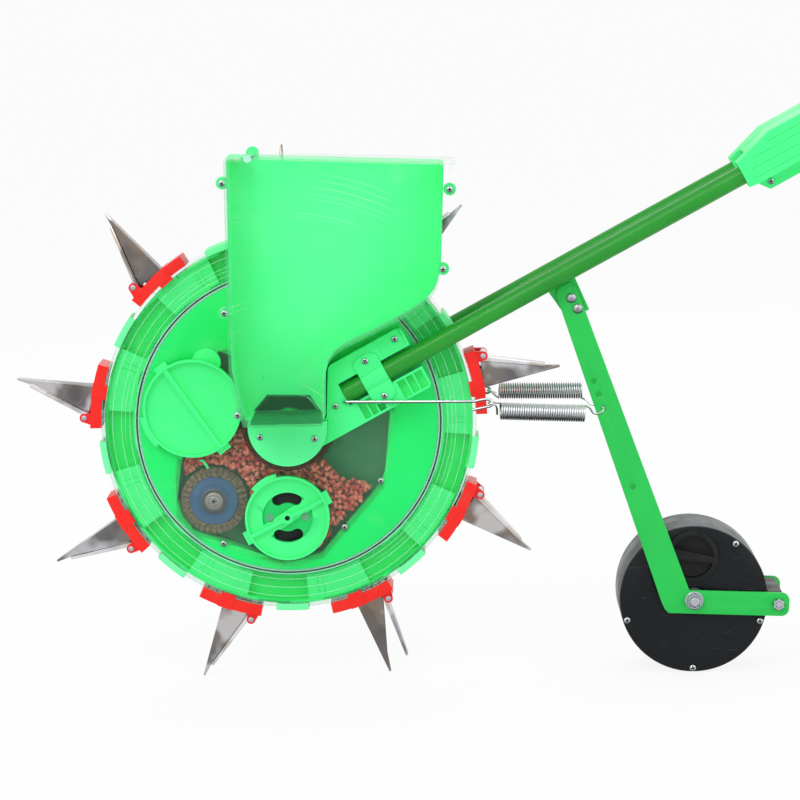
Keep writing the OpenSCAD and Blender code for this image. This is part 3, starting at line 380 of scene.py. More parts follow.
@dataclass(frozen=True)
class Moulded(Finish):
    """Moulded plastic: slow colour drift, fine grain, scuffs and specks of field dust."""

    deep: Color = (0.0, 0.4, 0.1)
    drift: float = 0.25
    dust: float = 0.3
    gloss: float = 0.3
    # Painted shade: a darker colour laid along Y towards the wells and recesses.
    well: Optional[Color] = None
    well_shade_from: float = -0.0168
    well_shade_to: float = -0.0100

    def build(self) -> bpy.types.Material:
        """Builds the moulded plastic, with painted shade that darkens the wells of a stepped piece."""
        graph = Graph(self.name)
        shader = graph.shader(self.color, self.roughness, Specular_IOR_Level=self.gloss)
        tint = graph.tint(self.color, self.deep, graph.noise(7.0, 2.0), 0.4, 0.66, self.drift)
        # Painted shade: the colour turns to the well colour along Y, deeper in.
        if self.well is not None:
            tint = graph.tint(tint, self.well, graph.along(graph.place, "Y"), self.well_shade_from, self.well_shade_to)
        tint = graph.tint(tint, DRY_DUST, graph.noise(30.0, 5.0, rough=0.6), 0.56, 0.8, self.dust * 0.3)
        tint = graph.blend(graph.span(graph.cells(48.0), 0.03, 0.055, self.dust, 0.0), tint, FIELD_SPECK)
        graph.feed(shader, "Base Color", tint)
        graph.feed(shader, "Roughness", graph.span(graph.noise(22.0, 5.0, rough=0.6), 0.35, 0.7,
                                                   self.roughness * 0.8, self.roughness * 1.3))
        graph.bump(shader, graph.noise(900.0, 2.0), 0.06, 0.0002)
        return graph.material


@dataclass(frozen=True)
class ClearPlastic(Finish):
    """Clear moulded plastic: thin in the middle, darker green at its edges as painted shade in place of
    refraction, with painted sheen arcs where they are set, and fine scratches.
    """

    face_alpha: float = 0.02
    edge_alpha: float = 0.46
    haze: float = 0.06
    # Painted sheen: pale arcs round the drum's axis, in place of reflections.
    painted_sheen: float = 0.0
    # Painted shade: a darker edge colour, in place of refraction.
    painted_edge_shade: Color = (0.13, 0.32, 0.22)

    def build(self) -> bpy.types.Material:
        """Builds the clear plastic."""
        graph = Graph(self.name)
        shader = graph.shader(self.color, self.roughness)
        weight = graph.nodes.new("ShaderNodeLayerWeight")
        weight.inputs["Blend"].default_value = 0.3
        facing = weight.outputs["Facing"]
        alpha = graph.span(facing, 0.3, 0.95, self.face_alpha, self.edge_alpha)
        scratches = graph.noise(60.0, 8.0, graph.stretch((1.0, 1.0, 6.0), 0.7), 0.75)
        haze = graph.span(scratches, 0.6, 0.8, 0.0, self.haze)
        # Painted shade: the colour turns to the edge colour where the surface faces away.
        graph.feed(shader, "Base Color", graph.tint(self.color, self.painted_edge_shade, facing, 0.55, 0.98, 0.85))
        cover = graph.figure("ADD", alpha, haze)
        # Painted sheen: arcs round the drum's axis, in patches, made more opaque and pale.
        if self.painted_sheen:
            lines = graph.span(graph.sheen_arc_lines(420.0), 0.58, 0.68, 0.0, self.painted_sheen)
            sheen_patches = graph.span(graph.noise(9.0, 2.0), 0.48, 0.6, 0.0, 1.0)
            cover = graph.figure("ADD", cover, graph.figure("MULTIPLY", lines, sheen_patches))
        graph.feed(shader, "Alpha", cover)
        graph.feed(shader, "Roughness", graph.span(haze, 0.0, self.haze, self.roughness,
                                                   self.roughness + 0.2))
        return graph.material


@dataclass(frozen=True)
class Painted(Finish):
    """Powder coat on steel: a glossy skin with orange peel, and chips near its edges."""

    deep: Color = (0.0, 0.2, 0.02)
    chips: float = 0.25
    gloss: float = 0.4
    peel: float = 0.06

    def build(self) -> bpy.types.Material:
        """Builds the painted steel."""
        graph = Graph(self.name)
        shader = graph.shader(self.color, self.roughness, Specular_IOR_Level=self.gloss)
        tint = graph.tint(self.color, self.deep, graph.noise(14.0, 4.0), 0.4, 0.7, 0.35)
        tint = graph.blend(graph.span(graph.cells(70.0), 0.04, 0.06, self.chips, 0.0), tint, BARE_CHIP)
        graph.feed(shader, "Base Color", tint)
        graph.feed(shader, "Roughness", graph.span(graph.noise(45.0, 5.0), 0.3, 0.7,
                                                   self.roughness * 0.8, self.roughness * 1.3))
        graph.bump(shader, graph.noise(480.0, 2.0), self.peel, 0.0003)
        return graph.material


@dataclass(frozen=True)
class Steel(Finish):
    """Bare or zinc-plated steel: brushed streaks, and heat and rust tints where it is worn."""

    warm: Color = (0.5, 0.42, 0.32)
    cool: Color = (0.35, 0.42, 0.55)
    stain: float = 0.4
    # Painted reflection: the strength of dark and light bands laid on polished steel.
    shade: float = 0.0
    # Painted shade: a darker colour laid on the faces that point down.
    under: Optional[Color] = None

    def build(self) -> bpy.types.Material:
        """Builds the steel, with painted shade that darkens its underside, and painted light and dark
        reflection bands when shade is set.
        """
        graph = Graph(self.name)
        shader = graph.shader(self.color, self.roughness, Metallic=1.0)
        tone = graph.noise(16.0, 3.0)
        tint = graph.tint(self.color, self.warm, tone, 0.5, 0.68, self.stain)
        tint = graph.tint(tint, self.cool, tone, 0.5, 0.34, self.stain)
        tint = graph.tint(tint, RUST, graph.noise(150.0, 6.0, rough=0.7), 0.66, 0.76, self.stain * 0.7)
        # Painted reflection: stretched noise lays dark and light bands in place of the studio's reflections.
        if self.shade:
            reflection_bands = graph.noise(24.0, 2.0, graph.stretch((1.0, 1.0, 1.0), 0.8))
            tint = graph.tint(tint, PAINTED_DARK_REFLECTION, reflection_bands, 0.42, 0.36, self.shade)
            tint = graph.tint(tint, PAINTED_LIGHT_REFLECTION, reflection_bands, 0.49, 0.58, self.shade)
        # Painted shade: faces that point down take the darker under colour.
        if self.under is not None:
            tint = graph.tint(tint, self.under, graph.along(graph.normal, "Z"), 0.15, -0.5)
        graph.feed(shader, "Base Color", tint)
        lines = graph.noise(120.0, 6.0, graph.stretch((1.0, 1.0, 14.0), 0.5), 0.7)
        graph.feed(shader, "Roughness", graph.span(lines, 0.3, 0.7, self.roughness * 0.7,
                                                   self.roughness * 1.5))
        graph.bump(shader, lines, 0.06, 0.0002)
        return graph.material


@dataclass(frozen=True)
class Rubbery(Finish):
    """Black rubber or plastic that has been used in soil: grey dust over black, with a matt grain."""

    dust_color: Color = (0.12, 0.12, 0.11)
    dust: float = 0.5
    scratches: float = 0.0

    def build(self) -> bpy.types.Material:
        """Builds the dusty black surface."""
        graph = Graph(self.name)
        shader = graph.shader(self.color, self.roughness, Specular_IOR_Level=0.2)
        film = graph.span(graph.noise(26.0, 7.0, rough=0.65), 0.42, 0.75, 0.0, self.dust)
        tint = graph.blend(film, self.color, self.dust_color)
        tint = graph.tint(tint, GREY_SPECK, graph.cells(420.0), 0.16, 0.05, self.dust * 0.6)
        if self.scratches:
            for angle in (0.5, 2.2):
                line = graph.noise(26.0, 7.0, graph.stretch((1.0, 1.0, 22.0), angle), 0.72)
                tint = graph.tint(tint, PALE_SCRATCH, line, 0.63, 0.68, self.scratches)
        graph.feed(shader, "Base Color", tint)
        graph.feed(shader, "Roughness", graph.span(film, 0.0, max(self.dust, 0.01),
                                                   self.roughness * 0.8, 0.75))
        graph.bump(shader, graph.noise(700.0, 4.0), 0.25, 0.0003)
        return graph.material


@dataclass(frozen=True)
class SeedSkin(Finish):
    """Red-brown seed skins, each seed a little different, with a dry bloom."""

    pale: Color = (0.5, 0.2, 0.14)

    def build(self) -> bpy.types.Material:
        """Builds the seed skin."""
        graph = Graph(self.name)
        shader = graph.shader(self.color, self.roughness)
        tint = graph.tint(self.color, self.pale, graph.noise(95.0, 1.0), 0.4, 0.62)
        veins = graph.noise(900.0, 3.0, graph.stretch((1.0, 1.0, 3.0)))
        graph.feed(shader, "Base Color", graph.tint(tint, SEED_VEIN, veins, 0.5, 0.75, 0.35))
        graph.bump(shader, veins, 0.3, 0.0003)
        return graph.material


@dataclass(frozen=True)
class Fibre(Finish):
    """Stiff brush fibre: pale tips and dusty roots."""

    root: Color = (0.14, 0.11, 0.07)

    def build(self) -> bpy.types.Material:
        """Builds the fibre."""
        graph = Graph(self.name)
        shader = graph.shader(self.color, self.roughness, Sheen_Weight=0.3)
        tint = graph.tint(self.color, self.root, graph.noise(420.0, 3.0), 0.35, 0.65, 0.9)
        graph.feed(shader, "Base Color", tint)
        graph.bump(shader, graph.noise(1500.0, 2.0), 0.4, 0.0002)
        return graph.material


MINT = Moulded("mint plastic", "mint_plastic", srgb(74, 247, 142), 0.4, deep=srgb(40, 236, 118), dust=0.15)
HOPPER_GREEN = Moulded("hopper green", "mint_plastic", srgb(82, 253, 154), 0.42, deep=srgb(38, 246, 124),
                       drift=0.6, dust=0.5)
# Painted shade: the dark green of the plates that stand for the shade in the outlet.
OUTLET_SHADE_GREEN = Moulded("outlet green", "green_plastic", srgb(0, 132, 70), 0.5, deep=srgb(0, 104, 54),
                       dust=0.3)
# The chamber pan carries painted shade towards its far side.
PAN_GREEN = Moulded("chamber pan green", "green_plastic", srgb(26, 238, 112), 0.36, deep=srgb(8, 220, 96),
                    drift=0.5, dust=0.4, well=srgb(30, 138, 76), well_shade_from=-0.006, well_shade_to=-0.002)
# The metering cap carries painted shade in its recesses.
METER_MINT = Moulded("metering cap mint", "mint_plastic", srgb(74, 247, 142), 0.4, deep=srgb(40, 236, 118),
                     dust=0.15, well=srgb(24, 206, 100), well_shade_from=-0.0291, well_shade_to=-0.0284)
DRUM_GREEN = Moulded("drum green", "green_plastic", srgb(26, 238, 112), 0.36, deep=srgb(8, 220, 96),
                     drift=0.5, dust=0.4)
# The pocket ring carries painted shade in its wells.
RING_GREEN = Moulded("pocket ring green", "green_plastic", srgb(72, 246, 136), 0.38, deep=srgb(40, 236, 118),
                     drift=0.4, dust=0.35, well=srgb(8, 226, 92))
HUB_MINT = Moulded("hub mint", "mint_plastic", srgb(92, 253, 156), 0.4, deep=srgb(66, 248, 140), dust=0.06)
CLEAT_MINT = Moulded("cleat mint", "mint_plastic", srgb(120, 252, 170), 0.36, deep=srgb(90, 246, 150),
                     dust=0.15)
CLEAR = ClearPlastic("clear plastic", "clear_plastic", srgb(184, 234, 208), 0.08)
# These clear finishes carry painted sheen arcs.
CLEAR_HOPPER = ClearPlastic("clear hopper plastic", "clear_plastic", srgb(178, 240, 200), 0.08, painted_sheen=0.34)
CLEAR_DRUM = ClearPlastic("clear drum plastic", "clear_plastic", srgb(188, 246, 212), 0.08, painted_sheen=0.4)
CLEAR_SMOKED = ClearPlastic("chamber window plastic", "clear_plastic", srgb(204, 232, 216), 0.1,
                            face_alpha=0.04, haze=0.14)
# Near-white clear: partly real ridge, partly painted highlight for the bright lines round the bore.
CLEAR_RIDGE_HIGHLIGHT = ClearPlastic("clear ridge", "clear_plastic", srgb(206, 250, 240), 0.12, face_alpha=0.5,
                           edge_alpha=0.8, painted_edge_shade=srgb(150, 214, 196))
# The edge colour of this finish is painted shade in place of refraction.
CLEAR_LINE = ClearPlastic("clear drum line", "clear_plastic", srgb(176, 252, 214), 0.12, face_alpha=0.3,
                          edge_alpha=0.6, painted_edge_shade=srgb(60, 190, 120))
CLEAR_PALE = ClearPlastic("pale clear plastic", "clear_plastic", srgb(118, 204, 158), 0.25, face_alpha=0.6,
                          edge_alpha=0.8)
COLLAR_BROWN = ClearPlastic("hub collar plastic", "black_rubber", srgb(84, 58, 42), 0.25, face_alpha=0.62,
                            edge_alpha=0.85)
TUBE_PAINT = Painted("tube paint", "green_tube", srgb(38, 152, 44), 0.3, deep=srgb(24, 118, 34), gloss=0.28)
STRUT_PAINT = Painted("strut paint", "green_strut", srgb(26, 196, 78), 0.4, deep=srgb(14, 172, 66), peel=0.16)
RED = Moulded("red plastic", "red_plastic", srgb(248, 28, 18), 0.34, deep=srgb(232, 16, 10), dust=0.08,
              gloss=0.35)
# The beak steels carry painted dark and light reflection bands.
BEAK_STEEL = Steel("beak steel", "bright_steel", srgb(190, 182, 174), 0.22, warm=srgb(206, 168, 130),
                   cool=srgb(112, 128, 156), stain=0.6, shade=0.7)
BEAK_EDGE = Steel("beak edge steel", "bright_steel", srgb(128, 122, 118), 0.22, warm=srgb(140, 112, 88),
                  cool=srgb(70, 78, 94), stain=0.5, shade=0.5)
# The under colours of these steels are painted shade on their undersides.
ZINC = Steel("zinc plated steel", "zinc_steel", srgb(200, 203, 210), 0.28, warm=srgb(184, 176, 156),
             cool=srgb(160, 172, 196), stain=0.2, under=srgb(96, 102, 108))
DARK_STEEL = Steel("dark washer steel", "zinc_steel", srgb(92, 94, 96), 0.36, warm=srgb(96, 88, 76),
                   cool=srgb(80, 88, 98), stain=0.2, under=srgb(44, 46, 48))
SPRING_STEEL = Steel("spring steel", "zinc_steel", srgb(224, 226, 230), 0.2, warm=srgb(200, 194, 180),
                     cool=srgb(180, 190, 206), stain=0.12, under=srgb(44, 47, 50))
SCREW_STEEL = Steel("screw steel", "zinc_steel", srgb(212, 214, 216), 0.24, warm=srgb(192, 186, 170),
                    cool=srgb(170, 180, 198), stain=0.12, under=srgb(96, 100, 104))
WORN_NUT = Steel("worn nut steel", "zinc_steel", srgb(158, 152, 142), 0.3, warm=srgb(140, 126, 104),
                 cool=srgb(130, 136, 146), stain=0.3, under=srgb(92, 90, 86))
GRIP_RUBBER = Rubbery("grip rubber", "black_rubber", srgb(24, 24, 26), 0.6, dust=0.2)
BLACK_PLASTIC = Rubbery("black plastic", "black_plastic", srgb(22, 25, 28), 0.42, dust=0.25)
WHEEL_BLACK = Rubbery("wheel plastic", "wheel_tread", srgb(78, 82, 84), 0.4, dust_color=srgb(112, 112, 108),
                      dust=0.4)
COVER_BLACK = Rubbery("wheel cover plastic", "black_plastic", srgb(11, 15, 19), 0.3,
                      dust_color=srgb(54, 60, 64), dust=0.12, scratches=0.4)
FILLER_BLACK = Rubbery("filler cap plastic", "black_plastic", srgb(13, 15, 17), 0.4, dust=0.14)
# Painted shade: a near-black finish laid in recesses and holes.
RECESS_SHADE = Rubbery("painted shade in a recess", "black_rubber", srgb(34, 36, 44), 0.7, dust=0.2)
DARK_BAND = Rubbery("hub ring rubber", "black_rubber", srgb(52, 40, 32), 0.55, dust_color=srgb(120, 96, 76))
BLUE = Moulded("blue plastic", "blue_plastic", srgb(52, 88, 128), 0.42, deep=srgb(34, 62, 98), dust=0.4)
BRISTLE = Fibre("brush fibre", "bristle", srgb(168, 144, 112), 0.7, root=srgb(84, 70, 52))
BRUSH_CORE = Fibre("brush core fibre", "bristle", srgb(64, 54, 42), 0.8, root=srgb(36, 30, 24))
SEED = SeedSkin("seed skin", "seed", srgb(190, 62, 50), 0.32, pale=srgb(232, 130, 108))


class Palette:
    """Builds each finish once and hands out its material."""

    def __init__(self) -> None:
        """Starts with no material built."""
        self.built: Dict[str, bpy.types.Material] = {}

    def of(self, finish: Finish) -> bpy.types.Material:
        """Gives the material of a finish.

        Args:
            finish: The finish that is wanted.

        Returns:
            Its material.
        """
        if finish.name not in self.built:
            self.built[finish.name] = finish.build()
        return self.built[finish.name]


# Modelling


class Bench:
    """The modelling bench: bpy.ops work on one piece at a time, then dressing and mounting it."""

    def __init__(self, frame: dict, palette: Palette) -> None:
        """Keeps the frame and the palette.

        Args:
            palette: The materials.
        """
        self.frame = frame
        self.palette = palette
        self.joints = {joint["name"]: Vector(joint["pos_m"]) for joint in frame["joints"]}
        self.hub = self.joints["drum_spin"]
        self.lean = Matrix.Translation(self.hub) @ Matrix.Rotation(STANCE_TILT, 4, "Y")

    def on_frame(self, x: float, y: float, z: float) -> Vector:
        """Places a point of the upright frame, in millimetres from the hub."""
        return self.lean @ Vector((x * MM, y * MM, z * MM))

    def upright(self, joint: str) -> Vector:
        """Finds a joint in the upright frame, in millimetres from the hub."""
        return self.lean.inverted() @ self.joints[joint] / MM

    def along(self, u: float, v: float) -> Point:
        """Gives a point by its distance along the handle and its height above it, in millimetres."""
        c, s = math.cos(HANDLE_ANGLE), math.sin(HANDLE_ANGLE)
        return u * c - v * s, u * s + v * c

    def facing(self, x: float, y: float, z: float, outward: Side) -> Matrix:
        """Gives the place of a turned piece whose axis runs out of one side.

        Args:
            x: Along the row from the hub, in millimetres.
            y: Across.
            z: Up.
            outward: The side that it faces.

        Returns:
            The placing matrix.
        """
        turn = math.pi / 2 if outward is Side.NEAR else -math.pi / 2
        return (Matrix.Translation(self.on_frame(x, y, z)) @ Matrix.Rotation(STANCE_TILT, 4, "Y")
                @ Matrix.Rotation(turn, 4, "X"))

    def clear_selection(self) -> None:
        """Leaves edit mode and deselects everything."""
        if bpy.context.object and bpy.context.object.mode != "OBJECT":
            bpy.ops.object.mode_set(mode="OBJECT")
        bpy.ops.object.select_all(action="DESELECT")

    def pick(self, *objects: bpy.types.Object) -> None:
        """Selects only these objects, the first one active.

        Args:
            *objects: The objects.
        """
        self.clear_selection()
        for item in objects:
            item.select_set(True)
        bpy.context.view_layer.objects.active = objects[0]

    def edit(self, piece: bpy.types.Object, action: str = "SELECT") -> None:
        """Opens a piece in edit mode with all or nothing selected.

        Args:
            piece: The piece.
            action: SELECT or DESELECT.
        """
        self.pick(piece)
        bpy.ops.object.mode_set(mode="EDIT")
        bpy.ops.mesh.select_all(action=action)

    def done(self) -> None:
        """Leaves edit mode."""
        bpy.ops.object.mode_set(mode="OBJECT")

    def close(self) -> None:
        """Turns every face of the edited piece outward and leaves edit mode."""
        bpy.ops.mesh.select_all(action="SELECT")
        bpy.ops.mesh.normals_make_consistent(inside=False)
        self.done()

    def apply(self, piece: bpy.types.Object, kind: str, **settings: object) -> None:
        """Adds a modifier and applies it.

        Args:
            piece: The piece.
            kind: The modifier's type.
            **settings: Its settings.
        """
        self.pick(piece)
        modifier = piece.modifiers.new(kind.title(), kind)
        for key, value in settings.items():
            setattr(modifier, key, value)
        bpy.ops.object.modifier_apply(modifier=modifier.name)

    def carve(self, piece: bpy.types.Object, tool: bpy.types.Object) -> None:
        """Cuts a tool's shape out of a piece and throws the tool away."""
        self.apply(piece, "BOOLEAN", operation="DIFFERENCE", object=tool, solver="EXACT")
        bpy.data.objects.remove(tool)

    def round_edges(self, piece: bpy.types.Object, width: float, segments: int = 2) -> None:
        """Rounds the sharp edges of a piece, by a width in millimetres and a number of steps."""
        self.apply(piece, "BEVEL", width=width * MM, segments=segments, limit_method="ANGLE",
                   angle_limit=ROUND_ANGLE, use_clamp_overlap=True, miter_outer="MITER_ARC")

    def smooth(self, piece: bpy.types.Object, angle: float = 32.0) -> None:
        """Shades a piece smooth, apart from edges sharper than an angle in degrees."""
        self.pick(piece)
        bpy.ops.object.shade_smooth_by_angle(angle=math.radians(angle))

    def settle(self, piece: bpy.types.Object, place: Optional[Matrix] = None) -> None:
        """Puts a piece in its place and moves that place into its mesh.

        Args:
            piece: The piece.
            place: Where it goes, on top of where it is.
        """
        bpy.context.view_layer.update()
        if place is not None:
            piece.matrix_world = place @ piece.matrix_world
        self.pick(piece)
        bpy.ops.object.transform_apply(location=True, rotation=True, scale=True)

    def copy(self, piece: bpy.types.Object, place: Matrix) -> bpy.types.Object:
        """Copies a piece with its own mesh.

        Args:
            piece: The piece.
            place: Moves the copy's mesh.

        Returns:
            The copy.
        """
        twin = piece.copy()
        twin.data = piece.data.copy()
        bpy.context.scene.collection.objects.link(twin)
        twin.data.transform(place)
        return twin

    def join(self, name: str, pieces: Sequence[bpy.types.Object]) -> bpy.types.Object:
        """Joins settled pieces into one.

        Args:
            name: Name of the joined piece.
            pieces: The pieces.

        Returns:
            The joined piece.
        """
        self.pick(*pieces)
        bpy.ops.object.join()
        pieces[0].name = name
        return pieces[0]

    def soften(self, node: str, edge: Edge, body: str, finish: Finish, segments: int = 2,
               clean: bool = True) -> bpy.types.Object:
        """Makes the moulded form of a CAD node: its copy with flat faces cleaned and edges rounded.

        Args:
            node: The CAD node.
            edge: How far its edges are rounded.
            body: The body that it rides on.
            finish: Its finish.
            segments: Steps of the rounding.
            clean: Whether flat faces are cleaned first.

        Returns:
            The new piece, which replaces the node.
        """
        source = self.frame["nodes"][node]
        piece = source.copy()
        piece.data = source.data.copy()
        piece.parent = None
        piece.matrix_world = Matrix.Identity(4)
        piece.name = node + "_form"
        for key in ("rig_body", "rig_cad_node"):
            if key in piece:
                del piece[key]
        bpy.context.scene.collection.objects.link(piece)
        piece.data.materials.clear()
        self.edit(piece)
        bpy.ops.mesh.remove_doubles(threshold=SEAM_GAP)
        if clean:
            bpy.ops.mesh.dissolve_limited(angle_limit=FLAT_ANGLE, delimit={"NORMAL"})
        self.done()
        self.round_edges(piece, edge.value, segments)
        return self.present(piece, body, finish, node)

    def mount(self, piece: bpy.types.Object, body: str, finish: Finish, *nodes: str) -> bpy.types.Object:
        """Dresses a piece, lets it ride on its body and lets it stand for CAD nodes.

        Args:
            piece: The piece.
            body: The body's name.
            finish: Its finish.
            *nodes: The CAD nodes that it replaces.

        Returns:
            The piece.
        """
        if len(piece.data.materials) < 2:
            piece.data.materials.clear()
            piece.data.materials.append(self.palette.of(finish))
        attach(piece, body)
        if nodes:
            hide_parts(*nodes)
        LOG.info("%s rides on %s, in %s", piece.name, body, finish.name)
        return piece

    def present(self, piece: bpy.types.Object, body: str, finish: Finish, *nodes: str,
                angle: float = 32.0) -> bpy.types.Object:
        """Shades a piece smooth and mounts it."""
        self.smooth(piece, angle)
        return self.mount(piece, body, finish, *nodes)

    def carry(self, node: str, finish: Finish) -> None:
        """Gives a CAD node that stays its finish.

        Args:
            node: The CAD node.
            finish: Its finish.
        """
        item = self.frame["nodes"][node]
        if not item.material_slots:
            item.data.materials.append(None)
        for slot in item.material_slots:
            slot.material = self.palette.of(finish)
        LOG.info("%s stays, in %s", node, finish.name)

    def block(self, size: Spot, **placed: object) -> bpy.types.Object:
        """Makes a block about the origin, or about the place that is given.

        Args:
            size: Its length along X, Y and Z, in millimetres.
            **placed: Location and rotation, as the cube's operator takes them.

        Returns:
            The block.
        """
        self.clear_selection()
        bpy.ops.mesh.primitive_cube_add(size=1.0, **placed)
        block = bpy.context.object
        block.scale = [length * MM for length in size]
        self.settle(block)
        return block

    def lathe(self, name: str, profile: Sequence[Point], sides: int = 48,
              place: Optional[Matrix] = None) -> bpy.types.Object:
        """Turns a piece about Z: a disc is extruded and resized from ring to ring.

        Args:
            name: Name of the piece.
            profile: Radius and height of each ring, in millimetres, from the bottom up.
            sides: Number of sides.
            place: Where the piece goes, or None to leave it at the origin.

        Returns:
            The closed piece.
        """
        self.clear_selection()
        radius, height = profile[0]
        bpy.ops.mesh.primitive_circle_add(vertices=sides, radius=radius * MM, fill_type="NGON",
                                          location=(0.0, 0.0, height * MM))
        piece = bpy.context.object
        piece.name = name
        bpy.ops.object.transform_apply(location=True, rotation=True, scale=True)
        self.edit(piece)
        for (r0, h0), (r, h) in zip(profile, profile[1:]):
            bpy.ops.mesh.extrude_region_move(TRANSFORM_OT_translate={"value": (0.0, 0.0, (h - h0) * MM)})
            share = r / r0
            bpy.ops.transform.resize(value=(share, share, 1.0), center_override=(0.0, 0.0, h * MM))
        self.close()
        if place is not None:
            self.settle(piece, place)
        return piece

    def plate(self, name: str, outline: Sequence[Point], front: float, depth: float) -> bpy.types.Object:
        """Cuts a flat plate to an outline in the upright frame.

        Args:
            name: Name of the plate.
            outline: X and Z of its corners, in millimetres from the hub.
            front: Y of its near face.
            depth: Its thickness, towards the far side.

        Returns:
            The closed plate, in its place.
        """
        self.clear_selection()
        bpy.ops.mesh.primitive_circle_add(vertices=len(outline), radius=MM, fill_type="NGON")
        piece = bpy.context.object
        piece.name = name
        for corner, (x, z) in zip(piece.data.vertices, outline):
            corner.co = (x * MM, front * MM, z * MM)
        self.edit(piece)
        bpy.ops.mesh.extrude_region_move(TRANSFORM_OT_translate={"value": (0.0, depth * MM, 0.0)})
        self.close()
        self.settle(piece, self.lean)
        return piece

    def flat_ring(self, name: str, radius: float, half_width: float, half_depth: float, y: float,
                  sides: int = 160) -> bpy.types.Object:
        """Lays a flattened ring round the hub's axis.

        Args:
            name: Name of the ring.
            radius: Radius of its middle line, in millimetres.
            half_width: Half its width.
            half_depth: Half its thickness across the machine.
            y: Y of its middle.
            sides: Number of steps round it.

        Returns:
            The ring, in its place.
        """
        self.clear_selection()
        bpy.ops.mesh.primitive_torus_add(major_radius=radius * MM, minor_radius=half_width * MM,
                                         major_segments=sides, minor_segments=8)
        ring = bpy.context.object
        ring.name = name
        ring.scale = (1.0, 1.0, half_depth / half_width)
        self.settle(ring, self.facing(0.0, y, 0.0, Side.NEAR))
        return ring

    def flow(self, points: Sequence[Spot], steps: int = 4) -> List[Spot]:
        """Draws a smooth line through points.

        Args:
            points: The points.
            steps: Steps between two points.

        Returns:
            The points of the smooth line.
        """
        spots = [Vector(point) for point in points]
        smooth: List[Spot] = []
        for index in range(len(spots) - 1):
            before, here = spots[max(index - 1, 0)], spots[index]
            there, after = spots[index + 1], spots[min(index + 2, len(spots) - 1)]
            for step in range(steps):
                t = step / steps
                bend = 2 * before - 5 * here + 4 * there - after
                twist = 3 * here - before - 3 * there + after
                place = 0.5 * (2 * here + (there - before) * t + bend * t * t + twist * t * t * t)
                smooth.append(tuple(place))
        smooth.append(tuple(spots[-1]))
        return smooth

    def wire(self, name: str, points: Sequence[Vector], radius: float, sides: int = 3) -> bpy.types.Object:
        """Draws a round wire along points.

        Args:
            name: Name of the piece.
            points: The wire's centreline, in metres.
            radius: Its radius, in millimetres.
            sides: Fineness of its round section.

        Returns:
            The wire as a closed mesh.
        """
        curve = bpy.data.curves.new(name, "CURVE")
        curve.dimensions = "3D"
        curve.bevel_depth = radius * MM
        curve.bevel_resolution = sides
        curve.use_fill_caps = True
        spline = curve.splines.new("POLY")
        spline.points.add(len(points) - 1)
        for spot, point in zip(spline.points, points):
            spot.co = (*point, 1.0)
        piece = bpy.data.objects.new(name, curve)
        bpy.context.scene.collection.objects.link(piece)
        self.pick(piece)
        bpy.ops.object.convert(target="MESH")
        piece = bpy.context.object
        self.edit(piece)
        bpy.ops.mesh.remove_doubles(threshold=MERGE_GAP)
        self.close()
        self.smooth(piece, 50.0)
        return piece


# Stage


